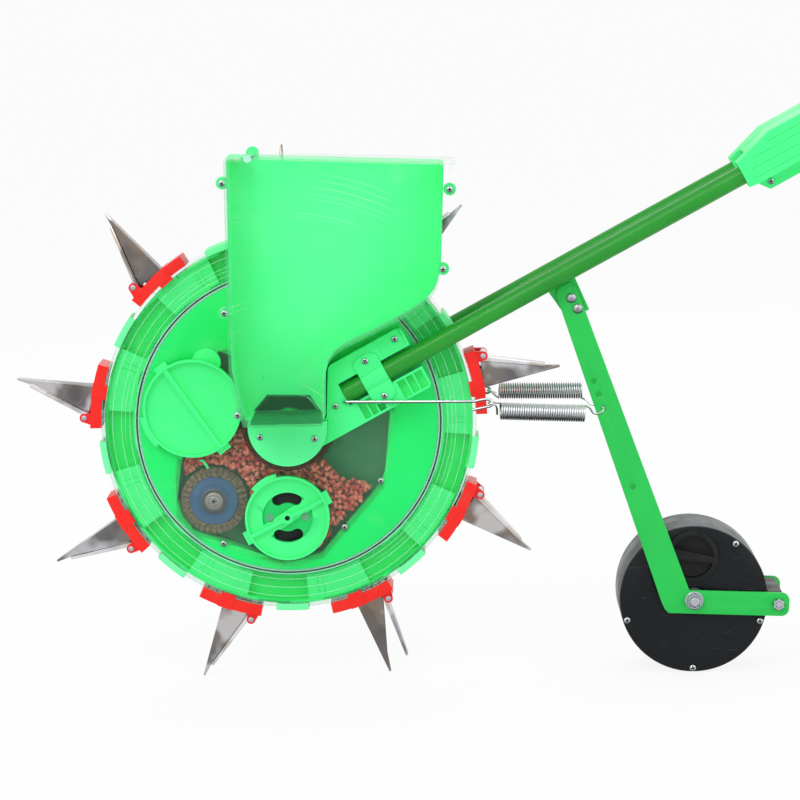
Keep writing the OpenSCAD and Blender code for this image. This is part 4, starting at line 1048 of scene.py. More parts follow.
@dataclass
class Studio:
    """The floor, the lights and the camera at the photograph's viewpoint."""

    camera_at: Spot = (-0.24508, -3.33076, 0.72853)
    yaw: float = 0.74467
    pitch: float = -7.66195
    roll: float = -1.48888
    focal: float = 148.61
    sensor: float = 36.0
    reach: float = 1000.0
    floor_size: float = 500.0
    floor_z: float = -0.0005
    floor_tone: Color = (0.88, 0.88, 0.88)
    glow_share: float = 0.88
    lit_point: Spot = (-0.2, 0.0, 0.3)
    sky_tone: Color = (0.95, 0.98, 1.0)
    sky_strength: float = 0.8

    def build(self) -> None:
        """Makes the stage."""
        self.make_camera()
        self.make_floor()
        self.make_lights()
        self.make_world()

    def make_camera(self) -> None:
        """Makes the camera, looking along +Y and a little down."""
        data = bpy.data.cameras.new("camera")
        data.lens = self.focal
        data.sensor_width = self.sensor
        data.clip_end = self.reach
        camera = bpy.data.objects.new("camera", data)
        bpy.context.scene.collection.objects.link(camera)
        turn = (Matrix.Rotation(math.radians(self.yaw), 4, "Z")
                @ Matrix.Rotation(math.radians(90.0 + self.pitch), 4, "X")
                @ Matrix.Rotation(math.radians(self.roll), 4, "Z"))
        camera.matrix_world = Matrix.Translation(self.camera_at) @ turn
        bpy.context.scene.camera = camera

    def make_floor(self) -> None:
        """Makes the pale floor, white to the camera and shaded where the machine stands."""
        bpy.ops.object.select_all(action="DESELECT")
        bpy.ops.mesh.primitive_plane_add(size=self.floor_size, location=(0.0, 0.0, self.floor_z))
        floor = bpy.context.object
        floor.name = "floor"
        bpy.ops.object.transform_apply(location=True, rotation=True, scale=True)
        graph = Graph("floor")
        diffuse = graph.shader(self.floor_tone, 0.9)
        glow = graph.nodes.new("ShaderNodeEmission")
        mix = graph.nodes.new("ShaderNodeMixShader")
        seen = graph.nodes.new("ShaderNodeMath")
        seen.operation = "MULTIPLY"
        seen.inputs[1].default_value = self.glow_share
        graph.links.new(self.looked_at(graph.nodes, graph.links), seen.inputs[0])
        for index, node in enumerate((seen, diffuse, glow)):
            graph.links.new(node.outputs[0], mix.inputs[index])
        graph.feed(graph.output, "Surface", mix.outputs[0])
        floor.data.materials.append(graph.material)
        floor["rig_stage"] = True

    def looked_at(self, nodes: bpy.types.Nodes, links: bpy.types.NodeLinks) -> Socket:
        """Adds a switch that is 1 for what the camera sees itself, or in metal, or through glass.

        Args:
            nodes: The nodes of the tree.
            links: The links of the tree.

        Returns:
            The switch's socket.
        """
        rays = nodes.new("ShaderNodeLightPath")
        total = rays.outputs["Is Camera Ray"]
        for kind in ("Is Glossy Ray", "Is Transmission Ray"):
            either = nodes.new("ShaderNodeMath")
            either.operation = "MAXIMUM"
            links.new(total, either.inputs[0])
            links.new(rays.outputs[kind], either.inputs[1])
            total = either.outputs[0]
        return total

    def make_lights(self) -> None:
        """Makes three large soft lamps: place, power in watts and size in metres."""
        lamps = (("key", (-1.6, -2.6, 2.6), 42.0, 1.8), ("fill", (2.4, -2.2, 1.6), 15.0, 2.4),
                 ("back", (0.4, 2.6, 2.4), 17.0, 2.4))
        for name, place, power, size in lamps:
            data = bpy.data.lights.new(name, "AREA")
            data.energy = power
            data.size = size
            lamp = bpy.data.objects.new(name, data)
            bpy.context.scene.collection.objects.link(lamp)
            aim = Vector(self.lit_point) - Vector(place)
            lamp.matrix_world = Matrix.Translation(place) @ aim.to_track_quat("-Z", "Y").to_matrix().to_4x4()

    def make_world(self) -> None:
        """Makes the even pale surroundings, which are plain white where they are looked at."""
        world = bpy.data.worlds.new("studio")
        bpy.context.scene.world = world
        world.use_nodes = True
        nodes, links = world.node_tree.nodes, world.node_tree.links
        nodes.clear()
        output = nodes.new("ShaderNodeOutputWorld")
        shades = []
        for color, strength in ((self.sky_tone, self.sky_strength), ((1.0, 1.0, 1.0), 1.0)):
            shade = nodes.new("ShaderNodeBackground")
            shade.inputs["Color"].default_value = (*color, 1.0)
            shade.inputs["Strength"].default_value = strength
            shades.append(shade.outputs[0])
        mix = nodes.new("ShaderNodeMixShader")
        for index, value in enumerate((self.looked_at(nodes, links), *shades)):
            links.new(value, mix.inputs[index])
        links.new(mix.outputs[0], output.inputs["Surface"])


# Fasteners


@dataclass
class CrossScrew:
    """A pan-head screw with a cross recess, modelled once and copied."""

    bench: Bench
    head_r: float = 3.2
    head_h: float = 2.2
    slot_w: float = 1.1
    slot_d: float = 1.7

    def build(self) -> bpy.types.Object:
        """Models the screw at the origin, its head towards +Z, with painted shade in its cross.

        Returns:
            The pattern screw.
        """
        bench, r, h = self.bench, self.head_r, self.head_h
        screw = bench.lathe("screw_pattern", [(r * 0.5, -1.2), (r * 0.5, 0.0), (r, 0.0), (r, h * 0.35),
                                              (r * 0.9, h * 0.72), (r * 0.66, h * 0.93), (r * 0.3, h)], 24)
        size = (r * 1.25, self.slot_w, 2 * self.slot_d)
        bars = [bench.block(size, location=(0.0, 0.0, h * MM), rotation=(0.0, 0.0, turn))
                for turn in (0.0, math.pi / 2)]
        for bar in bars:
            bench.carve(screw, bar)
        # Painted shade: the faces of the cross recess take the dark finish.
        for finish in (SCREW_STEEL, RECESS_SHADE):
            screw.data.materials.append(bench.palette.of(finish))
        half = self.slot_w / 2 * MM + 1e-6
        for face in screw.data.polygons:
            x, y, z = face.center
            inside = min(abs(x), abs(y)) < half and max(abs(x), abs(y)) < r * 0.64 * MM
            face.material_index = 1 if inside and h * 0.1 * MM < z < h * 0.92 * MM else 0
        bench.smooth(screw, 40.0)
        return screw

    def set_out(self, name: str, places: Sequence[Matrix]) -> bpy.types.Object:
        """Copies the screw to each place, each turned its own way.

        Args:
            name: Name of the joined screws.
            places: Where they go.

        Returns:
            The joined screws.
        """
        pattern = self.build()
        chance = random.Random(7)
        copies = [self.bench.copy(pattern, place @ Matrix.Rotation(chance.uniform(0, math.pi), 4, "Z"))
                  for place in places]
        bpy.data.objects.remove(pattern)
        return self.bench.join(name, copies)


# Drum and beaks


@dataclass
class Drum:
    """The planting drum with its beaks. Its lines and ridges lie on the faces of the two rings."""

    bench: Bench
    beak_count: int = 9
    ridges: Tuple[Spot, ...] = ((151.95, 1.05, -22.8), (155.2, 0.6, -22.9))
    ridge_depth: float = 0.6
    line_radii: Tuple[float, ...] = (161.0, 169.5, 178.5, 186.8, 189.4)
    line_w: float = 0.45
    line_depth: float = 0.3
    line_y: float = -22.95
    bar_size: Spot = (17.0, 0.7, 0.9)
    bar_at: Spot = (171.0, -17.2, 0.0)
    bar_turns: Point = (-11.5, -9.6)

    def build(self) -> None:
        """Dresses the drum and its nine beaks."""
        bench = self.bench
        for row in (("drive_disc", Edge.THIN, "drum", DRUM_GREEN, 1),
                    ("pocket_ring", Edge.THIN, "drum", RING_GREEN, 1),
                    ("side_ring", Edge.MOULDED, "drum", CLEAR_DRUM), ("rim_band", Edge.THIN, "drum", CLEAR),
                    ("rim_cleats", Edge.SOFT, "drum", CLEAT_MINT),
                    ("beak_holders", Edge.SOFT, "drum", RED, 3),
                    ("fixed_jaws", Edge.THIN, "drum", BEAK_EDGE), ("jaw_pins", Edge.MOULDED, "drum", ZINC)):
            bench.soften(*row)
        bench.carry("jaw_springs", ZINC)
        for number in range(1, self.beak_count + 1):
            bench.soften(f"moving_jaw_{number}", Edge.THIN, f"jaw_{number}", BEAK_STEEL)
        self.make_ring_lines()
        self.make_ridges()

    def make_ridges(self) -> None:
        """Makes the bright ridges round the bore, partly real ridge and partly painted highlight in
        near-white clear, and the thin lines of the clear side ring.
        """
        bench = self.bench
        # Painted highlight: near-white rings over the bore's edge, which is also a real ridge.
        rings = [bench.flat_ring("ridge", radius, width, self.ridge_depth, y)
                 for radius, width, y in self.ridges]
        bench.present(bench.join("side_ring_ridges", rings), "drum", CLEAR_RIDGE_HIGHLIGHT, angle=60.0)
        rings = [bench.flat_ring("line", radius, self.line_w, self.line_depth, self.line_y)
                 for radius in self.line_radii]
        bench.present(bench.join("side_ring_lines", rings), "drum", CLEAR_LINE, angle=60.0)

    def make_ring_lines(self) -> None:
        """Makes the moulded double lines that cross the pocket ring between the steps."""
        bench = self.bench
        bars = []
        for index in range(self.beak_count):
            angle = math.radians(-90 + 360 / self.beak_count * (index + 0.5))
            for offset in self.bar_turns:
                bar = bench.block(self.bar_size)
                bench.round_edges(bar, 0.25)
                spin = Matrix.Rotation(-(angle + math.radians(offset)), 4, "Y")
                bench.settle(bar, Matrix.Translation(bench.hub) @ spin
                             @ Matrix.Translation([value * MM for value in self.bar_at]))
                bars.append(bar)
        bench.present(bench.join("pocket_ring_lines", bars), "drum", DRUM_GREEN)


# Chamber and metering


@dataclass
class Chamber:
    """The seed chamber behind its clear window, with its seed, caps and brush."""

    bench: Bench
    seed_length: float = 3.7
    seed_width: float = 2.55
    layers: int = 3
    layer_y: Point = (-19.7, 3.6)
    scatter: float = 2.3
    heap_from: Point = (-108.0, -128.0)
    heap_to: Point = (92.0, 8.0)
    heap: Tuple[Point, ...] = ((-106, -16), (-104, -58), (-62, -62), (-46, -72), (-37, -122), (33, -126),
                               (86, -64), (76, -59), (52, -56), (34, -36), (18, -42), (-20, -38), (-42, -12),
                               (-60, 4))
    hub_room: float = 19.0
    metering_at: Point = (1.0, -96.2)
    metering_room: float = 42.5
    brush_at: Point = (-74.4, -82.7)
    brush_room: float = 38.5
    access_at: Point = (-97.3, 13.2)
    access_room: float = 49.0
    collar_r: float = 46.6
    collar_w: float = 1.9
    collar_depth: float = 0.2
    collar_y: float = -26.55
    collar_top: float = 5.6
    well_r: float = 25.5
    well_steps: int = 18
    well_y: float = -31.5
    well_depth: float = 3.8
    light_step: Point = (18.0, 1.0)
    light_y: float = -26.9
    tufts: int = 32
    tuft_rows: int = 5
    blades: int = 7
    strand: Spot = (0.42, 0.24, 11.0)
    strand_at: float = 28.4
    row_y: Point = (-18.4, 2.7)
    core_y: float = -6.0
    disc_y: float = -19.2
    nut_y: float = -22.7
    catch_size: Spot = (2.4, 1.6, 9.0)
    catch_at: Spot = (-83.0, -25.3, -45.0)
    catch_turn: float = -0.55

    def build(self) -> None:
        """Dresses the chamber."""
        bench = self.bench
        for row in (("chamber_pan", Edge.MOULDED, "frame", PAN_GREEN),
                    ("chamber_window", Edge.MOULDED, "frame", CLEAR_SMOKED),
                    ("hub_ring", Edge.MOULDED, "frame", DARK_BAND),
                    ("hub_cap", Edge.SOFT, "frame", HUB_MINT, 3),
                    ("vent_plug", Edge.MOULDED, "frame", MINT),
                    ("access_cap", Edge.MOULDED, "access_cover", MINT)):
            bench.soften(*row)
        self.carve_cap(bench.soften("metering_cap", Edge.MOULDED, "metering_cover", METER_MINT))
        bench.carry("hub_sleeve", DRUM_GREEN)
        bench.soften("axle_bolt", Edge.MOULDED, "frame", ZINC)
        bench.soften("metering_roller", Edge.MOULDED, "metering", BLACK_PLASTIC)
        bench.carry("metering_pinion", MINT)
        self.make_collar()
        self.make_seed()
        self.make_brush()
        self.make_catch()

    def make_collar(self) -> None:
        """Makes the brown collar that shows below the hub cap, flat on the window behind the caps' ears."""
        bench = self.bench
        collar = bench.flat_ring("hub_collar", self.collar_r, self.collar_w, self.collar_depth,
                                 self.collar_y, 120)
        bench.edit(collar)
        up = bench.on_frame(0.0, 0.0, 1000.0) - bench.hub
        bpy.ops.mesh.bisect(plane_co=tuple(bench.on_frame(0.0, 0.0, self.collar_top)), plane_no=tuple(up),
                            use_fill=True, clear_outer=True)
        bench.close()
        bench.present(collar, "frame", COLLAR_BROWN, angle=50.0)

    def carve_cap(self, cap: bpy.types.Object) -> None:
        """Sinks the two half-round wells of the metering cap and closes its side holes.

        Args:
            cap: The cap.
        """
        bench, (x, z) = self.bench, self.metering_at
        for start in (50.0, 230.0):
            outline = []
            for step in range(self.well_steps + 1):
                angle = math.radians(start + 150.0 * step / self.well_steps)
                outline.append((x + self.well_r * math.cos(angle), z + self.well_r * math.sin(angle)))
            bench.carve(cap, bench.plate("well", outline, self.well_y, self.well_depth))
        bench.smooth(cap)
        discs = [bench.lathe("disc", [(4.3, 0.0), (4.4, 0.2), (4.4, 0.9), (4.1, 1.2)], 28,
                             bench.facing(x + side * self.light_step[0], self.light_y,
                                          z + side * self.light_step[1], Side.NEAR))
                 for side in (-1, 1)]
        bench.present(bench.join("metering_cap_lights", discs), "metering_cover", CLEAR_PALE)

    def inside(self, x: float, z: float) -> bool:
        """Tells whether a point lies in the heap of seed and clear of the roller, brush, cap and hub.

        Args:
            x: Along the row from the hub, in millimetres.
            z: Up from the hub.

        Returns:
            Whether a seed may lie there.
        """
        hit = False
        for (x0, z0), (x1, z1) in zip(self.heap, self.heap[1:] + self.heap[:1]):
            if (z0 > z) != (z1 > z) and x < (x1 - x0) * (z - z0) / (z1 - z0) + x0:
                hit = not hit
        rooms = ((self.metering_at, self.metering_room), (self.brush_at, self.brush_room),
                 ((0.0, 0.0), self.hub_room))
        return hit and all(math.hypot(x - at[0], z - at[1]) > room for at, room in rooms)

    def make_kernel(self) -> bpy.types.Object:
        """Models one seed at the origin, slimmer towards its upper end.

        Returns:
            The seed.
        """
        bench = self.bench
        bench.clear_selection()
        bpy.ops.mesh.primitive_uv_sphere_add(segments=8, ring_count=5, radius=1.0)
        kernel = bpy.context.object
        kernel.scale = (self.seed_width * MM, self.seed_width * 0.85 * MM, self.seed_length * MM)
        bench.settle(kernel)
        bench.edit(kernel, "DESELECT")
        bench.done()
        for vertex in kernel.data.vertices:
            vertex.select = vertex.co.z > self.seed_length * 0.5 * MM
        bpy.ops.object.mode_set(mode="EDIT")
        bpy.ops.transform.resize(value=(0.78, 0.78, 1.06), center_override=(0.0, 0.0, 0.0))
        bench.done()
        bench.smooth(kernel, 60.0)
        return kernel

    def make_seed(self) -> None:
        """Heaps copies of one seed behind the window, and lays none of the first layer under the cap."""
        bench, kernel = self.bench, self.make_kernel()
        chance = random.Random(11)
        step = self.seed_width * 2.05
        copies = []
        for layer in range(self.layers):
            x = self.heap_from[0] + layer * 1.7
            while x < self.heap_to[0]:
                z = self.heap_from[1] + chance.uniform(0.0, 5.0)
                while z < self.heap_to[1]:
                    px = x + chance.uniform(-self.scatter, self.scatter)
                    pz = z + chance.uniform(-self.scatter, self.scatter)
                    off_cap = math.hypot(px - self.access_at[0], pz - self.access_at[1]) > self.access_room
                    if self.inside(px, pz) and (layer > 0 or off_cap):
                        y = self.layer_y[0] + layer * self.layer_y[1] + chance.uniform(-0.9, 0.9)
                        turn = Matrix.Rotation(chance.uniform(-1.3, 1.3), 4, "X")
                        turn = Matrix.Rotation(chance.uniform(0, math.tau), 4, "Y") @ turn
                        place = Matrix.Translation(bench.on_frame(px, y, pz))
                        copies.append(bench.copy(kernel, place @ turn))
                    z += step * 1.12
                x += step
        bpy.data.objects.remove(kernel)
        bench.mount(bench.join("seed_heap", copies), "frame", SEED, "seed_charge")

    def make_strands(self) -> List[bpy.types.Object]:
        """Sets the brush's strands in tufts, a few rows deep.

        Returns:
            The strands.
        """
        bench, (x, z) = self.bench, self.brush_at
        bench.clear_selection()
        root, tip, length = (value * MM for value in self.strand)
        bpy.ops.mesh.primitive_cone_add(vertices=4, radius1=root, radius2=tip, depth=length)
        strand = bpy.context.object
        bench.settle(strand, Matrix.Translation((self.strand_at * MM, 0.0, 0.0))
                     @ Matrix.Rotation(math.pi / 2, 4, "Y"))
        chance = random.Random(3)
        strands = []
        place = Matrix.Translation(bench.on_frame(x, 0.0, z)) @ Matrix.Rotation(STANCE_TILT, 4, "Y")
        for row in range(self.tuft_rows):
            for tuft in range(self.tufts):
                for blade in range(self.blades):
                    turn = 360 / self.tufts * (tuft + (blade - self.blades // 2) * 0.12)
                    angle = math.radians(turn + chance.uniform(-0.4, 0.4))
                    y = self.row_y[0] + row * self.row_y[1] + chance.uniform(-0.6, 0.6)
                    strands.append(bench.copy(strand, place @ Matrix.Rotation(angle, 4, "Y")
                                              @ Matrix.Translation((0.0, y * MM, 0.0))))
        bpy.data.objects.remove(strand)
        return strands

    def make_brush(self) -> None:
        """Models the brush: tufts of strands on a core, the blue disc, and the shaft's stacked nut."""
        bench, (x, z) = self.bench, self.brush_at
        strands = self.make_strands()
        core = bench.lathe("brush_core", [(20.0, 0.0), (24.4, 0.0), (24.4, 13.0), (20.0, 13.0)], 64,
                           bench.facing(x, self.core_y, z, Side.NEAR))
        bench.present(core, "brush", BRUSH_CORE, angle=30.0)
        bench.present(bench.join("brush_strands", strands), "brush", BRISTLE, "brush_bristles", angle=30.0)
        disc = bench.lathe("brush_face", [(23.6, 0.0), (24.6, 0.0), (24.6, 1.2), (23.9, 1.9), (17.0, 2.2),
                                          (16.4, 1.7), (15.6, 1.7), (15.0, 2.2), (8.0, 2.2), (6.1, 2.2),
                                          (6.1, 0.0)], 72, bench.facing(x, self.disc_y, z, Side.NEAR))
        bench.present(disc, "brush", BLUE, "brush_disc")
        bench.soften("brush_shaft", Edge.MOULDED, "brush", ZINC)
        place = bench.facing(x, self.nut_y, z, Side.NEAR)
        for name, finish, sides, profile in (
                ("brush_washer", DARK_STEEL, 56, [(12.9, 0.0), (13.1, 0.2), (13.1, 0.5), (12.6, 0.8),
                                                  (11.2, 0.8), (10.9, 0.5), (9.4, 0.5)]),
                ("brush_nut", WORN_NUT, 48, [(8.3, 0.4), (8.9, 0.6), (8.9, 0.9), (7.9, 1.3), (5.6, 1.3),
                                             (5.2, 0.9), (4.6, 0.9), (4.4, 1.4), (2.3, 1.5), (2.0, 1.0),
                                             (0.8, 0.9)]),
                # Painted shade: the nut's hole takes the dark finish.
                ("brush_nut_hole", RECESS_SHADE, 20, [(1.9, 1.0), (1.9, 1.2), (1.5, 1.25)])):
            bench.present(bench.lathe(name, profile, sides, place), "brush", finish)

    def make_catch(self) -> None:
        """Models the small moulded catch beside the brush."""
        bench = self.bench
        catch = bench.block(self.catch_size)
        catch.name = "brush_catch"
        bench.edit(catch, "DESELECT")
        bench.done()
        for face in catch.data.polygons:
            face.select = face.normal.z > 0.9
        bpy.ops.object.mode_set(mode="EDIT")
        bpy.ops.mesh.extrude_region_move(TRANSFORM_OT_translate={"value": (-2.4 * MM, 0.0, 2.6 * MM)})
        bpy.ops.transform.resize(value=(1.7, 1.0, 0.6))
        bench.done()
        bench.round_edges(catch, 0.5, 3)
        bench.settle(catch, Matrix.Translation(bench.on_frame(*self.catch_at))
                     @ Matrix.Rotation(self.catch_turn, 4, "Y"))
        bench.present(catch, "frame", MINT)


# Hopper


@dataclass
class Hopper:
    """The hopper: green back shell, clear front cover, clear lid, and dark green plates of painted shade at
    the outlet in its floor.
    """

    bench: Bench
    hinge: Spot = (-42.0, -118.2, 272.0)
    # Painted shade: a dark green plate on the floor and strips round the opening, where the outlet lies in
    # shade.
    floor_shade: Tuple[Point, ...] = ((-34.4, 9.85), (36.0, 13.25), (36.0, 13.75), (-34.4, 10.35))
    floor_shade_y: float = -115.8
    floor_shade_depth: float = 86.6
    shade_strips: Tuple[Tuple[Point, ...], ...] = (
        ((-33.8, 9.9), (33.0, 13.1), (30.6, 15.0), (-33.6, 12.2)),
        ((30.6, 14.6), (32.4, 13.6), (21.0, 29.7), (18.4, 28.2)),
        ((21.0, 29.7), (-22.1, 28.9), (-22.6, 27.2), (18.4, 28.2)),
        ((-22.1, 28.9), (-35.2, 12.4), (-33.6, 12.2), (-21.6, 27.2)))
    shade_strips_y: float = -29.6
    shade_strips_depth: float = 0.6

    def build(self) -> None:
        """Dresses the hopper."""
        bench = self.bench
        bench.soften("hopper_shell", Edge.SOFT, "frame", HOPPER_GREEN, 3)
        bench.soften("hopper_cover", Edge.SOFT, "frame", CLEAR_HOPPER, 3)
        bench.soften("hopper_lid", Edge.MOULDED, "lid", CLEAR)
        knuckle = bench.lathe("lid_knuckle", [(3.4, 0.0), (4.2, 0.6), (4.2, 2.2), (3.8, 2.8), (1.6, 3.0)], 32,
                              bench.facing(*self.hinge, Side.NEAR))
        bench.present(knuckle, "frame", CLEAR_RIDGE_HIGHLIGHT)
        # Painted shade: dark green plates on the floor and round the outlet's opening.
        plates = [bench.plate("outlet_floor_shade", self.floor_shade, self.floor_shade_y, self.floor_shade_depth)]
        plates += [bench.plate("shade_strips", outline, self.shade_strips_y, self.shade_strips_depth) for outline in self.shade_strips]
        bench.mount(bench.join("outlet_shade_plates", plates), "frame", OUTLET_SHADE_GREEN)


# Handle


@dataclass
class Handle:
    """Brackets, tubes, coupling, grips and the screws of the fixed pieces."""

    bench: Bench
    cross_at: float = 1200.0
    grip_r: float = 14.5
    grip_end: float = 210.0
    grip_len: float = 112.0
    ribs: int = 17
    saddle_u: float = 100.0
    saddle_v: float = 20.0
    saddle_y: float = 48.2
    coupling_y: float = 52.1
    flutes: Tuple[Spot, ...] = ((-6.0, 527.0, 684.0), (3.5, 529.0, 684.0), (13.0, 536.0, 682.0),
                                (20.5, 556.0, 668.0))
    near_screws: Tuple[Tuple[float, Tuple[Point, ...]], ...] = (
        (-26.3, ((-63.5, -125.2), (94.5, -56.5), (59.0, -105.0))), (-54.8, ((-27.5, -11.0), (27.5, -11.0))),
        (-76.62, ((-69.0, 244.0), (155.9, 244.0), (151.4, 165.0), (-64.3, 115.4), (-49.0, 13.6))))
    bracket_screws: Tuple[Spot, ...] = ((136.5, 24.8, 44.6), (51.5, -5.5, 45.8))
    coupling_screws: Point = (543.0, 675.0)
    coupling_screw_v: float = -23.0
    coupling_screw_y: float = -2.7

    def build(self) -> None:
        """Dresses the handle."""
        bench = self.bench
        for node in ("bracket_near", "bracket_far"):
            bench.soften(node, Edge.THIN, "frame", MINT, clean=False)
        bench.soften("tube_saddles", Edge.MOULDED, "frame", MINT)
        for node in ("coupling_near", "coupling_far"):
            bench.soften(node, Edge.SOFT, "frame", MINT, 3)
        for node in ("handle_tube_near", "handle_tube_far", "upper_tube_near", "upper_tube_far"):
            bench.soften(node, Edge.THIN, "frame", TUBE_PAINT, 1)
        self.make_flutes()
        self.make_grip(Side.NEAR, "grip_near")
        self.make_grip(Side.FAR, "grip_far")
        self.make_screws()

    def make_flutes(self) -> None:
        """Makes the long raised flutes on both faces of the coupling."""
        bench = self.bench
        bars = []
        for side in Side:
            for v, first, last in self.flutes:
                bar = bench.block((last - first, 2.0, 3.2))
                bench.round_edges(bar, 0.9, 3)
                x, z = bench.along((first + last) / 2, v)
                place = bench.lean @ Matrix.Translation((x * MM, side.value * self.coupling_y * MM, z * MM))
                bench.settle(bar, place @ Matrix.Rotation(-HANDLE_ANGLE, 4, "Y"))
                bars.append(bar)
        bench.present(bench.join("coupling_flutes", bars), "frame", MINT)

    def make_grip(self, side: Side, node: str) -> None:
        """Turns a ribbed grip and sets it on its tube.

        Args:
            side: The side of the machine.
            node: The CAD node that it replaces.
        """
        bench, top, end = self.bench, self.grip_r, self.grip_len
        body = top - 1.6
        profile: List[Point] = [(9.7, 0.0), (body - 0.4, 0.0), (body, 0.4), (body, 1.5), (top - 0.5, 1.7),
                                (top, 2.3), (top, 4.7), (top - 0.5, 5.3), (body, 5.5)]
        pitch = (end - 16.0) / self.ribs
        for rib in range(self.ribs):
            low = 7.0 + rib * pitch
            profile += [(body - 0.9, low + pitch * 0.15), (body - 0.1, low + pitch * 0.3),
                        (body - 0.1, low + pitch * 0.7), (body - 0.9, low + pitch * 0.85)]
        profile += [(body, end - 8.0), (body, end - 2.6), (body - 0.8, end - 1.0), (body - 2.6, end),
                    (4.0, end), (3.0, end - 1.0)]
        x, z = bench.along(self.cross_at, 0.0)
        start = side.value * (self.grip_end - end)
        grip = bench.lathe(node + "_ribbed", profile, 40, bench.facing(x, start, z, side))
        bench.present(grip, "frame", GRIP_RUBBER, node, angle=45.0)

    def make_screws(self) -> None:
        """Sets out the cross-head screws of the window, hub cap, hopper, brackets, saddles and coupling."""
        bench = self.bench
        spots: List[Tuple[float, float, float, Side]] = []
        for y, places in self.near_screws:
            spots += [(x, y, z, Side.NEAR) for x, z in places]
        saddles = tuple((self.saddle_u, v, self.saddle_y) for v in (-self.saddle_v, self.saddle_v))
        for side in Side:
            for u, v, seat in self.bracket_screws + saddles:
                x, z = bench.along(u, v)
                spots.append((x, side.value * seat, z, side))
        for u in self.coupling_screws:
            x, z = bench.along(u, self.coupling_screw_v)
            spots.append((x, self.coupling_screw_y, z, Side.NEAR))
        screws = CrossScrew(bench).set_out("cross_screws", [bench.facing(*spot) for spot in spots])
        bench.mount(screws, "frame", SCREW_STEEL, "frame_screws")


# Rear wheel


@dataclass
class PressWheel:
    """The sprung strut with its press wheel and scraper."""

    bench: Bench
    bar_y: float = 47.0
    cover_y: float = -41.0
    screw_at: float = 70.6
    screw_first: float = 55.3
    screw_count: int = 5
    scraper_at: Point = (85.2, -1.3)

    def build(self) -> None:
        """Dresses the strut and the wheel."""
        bench = self.bench
        for row in (("strut_bracket", Edge.MOULDED, "frame", STRUT_PAINT),
                    ("strut_bars", Edge.MOULDED, "strut", STRUT_PAINT),
                    ("pivot_bolts", Edge.MOULDED, "strut", ZINC),
                    ("scraper", Edge.MOULDED, "strut", BLACK_PLASTIC)):
            bench.soften(*row)
        self.make_nuts()
        for row in (("press_wheel", Edge.SOFT, "wheel", WHEEL_BLACK, 3),
                    ("wheel_cover", Edge.MOULDED, "wheel", COVER_BLACK),
                    ("filler_cap", Edge.MOULDED, "filler", FILLER_BLACK)):
            bench.soften(*row)
        axle = bench.upright("wheel_spin")
        spots = []
        for index in range(self.screw_count):
            angle = math.radians(self.screw_first + 360 / self.screw_count * index)
            spots.append(bench.facing(axle.x + self.screw_at * math.cos(angle), self.cover_y,
                                      axle.z + self.screw_at * math.sin(angle), Side.NEAR))
        screws = CrossScrew(bench, head_r=3.4, slot_w=1.2).set_out("cover_screws", spots)
        bench.mount(screws, "wheel", SCREW_STEEL, "wheel_screws")

    def on_bars(self, x: float, z: float, parts: Sequence[Tuple[str, int, Sequence[Point]]]
                ) -> List[bpy.types.Object]:
        """Turns parts on the outer faces of both strut bars.

        Args:
            x: Along the row from the hub, in millimetres.
            z: Up from the hub.
            parts: Name, number of sides and profile of each part.

        Returns:
            The parts of both sides.
        """
        pieces = []
        for side in Side:
            place = self.bench.facing(x, side.value * self.bar_y, z, side)
            pieces += [self.bench.lathe(name, profile, sides, place) for name, sides, profile in parts]
        return pieces

    def make_nuts(self) -> None:
        """Models the axle rod with its washers, nuts and spacers, and the nuts of the scraper's bolt."""
        bench = self.bench
        axle = bench.upright("wheel_spin")
        rod = bench.lathe("axle_rod", [(4.0, 0.0), (5.0, 1.0), (5.0, 115.0), (4.0, 116.0)], 32,
                          bench.facing(axle.x, 58.0, axle.z, Side.NEAR))
        pieces = self.on_bars(axle.x, axle.z, (
            ("washer", 40, [(8.9, 0.0), (9.2, 0.3), (9.2, 1.1), (8.8, 1.4), (6.0, 1.4)]),
            ("nut", 6, [(7.7, 1.4), (8.2, 1.9), (8.2, 7.4), (7.4, 8.4), (6.2, 8.4), (5.5, 7.6)]),
            ("spacer", 32, [(8.2, -5.8), (8.5, -5.5), (8.5, -3.1)])))
        bench.present(bench.join("axle_stack", [rod, *pieces]), "strut", ZINC, "wheel_axle")
        pieces = self.on_bars(axle.x + self.scraper_at[0], axle.z + self.scraper_at[1], (
            ("nut", 6, [(5.6, 0.05), (6.1, 0.5), (6.1, 4.3), (5.5, 5.0), (3.7, 5.0), (3.2, 4.6)]),
            ("end", 24, [(3.06, 4.5), (3.06, 5.9), (2.6, 6.3)])))
        bench.present(bench.join("scraper_nuts", pieces), "strut", ZINC)


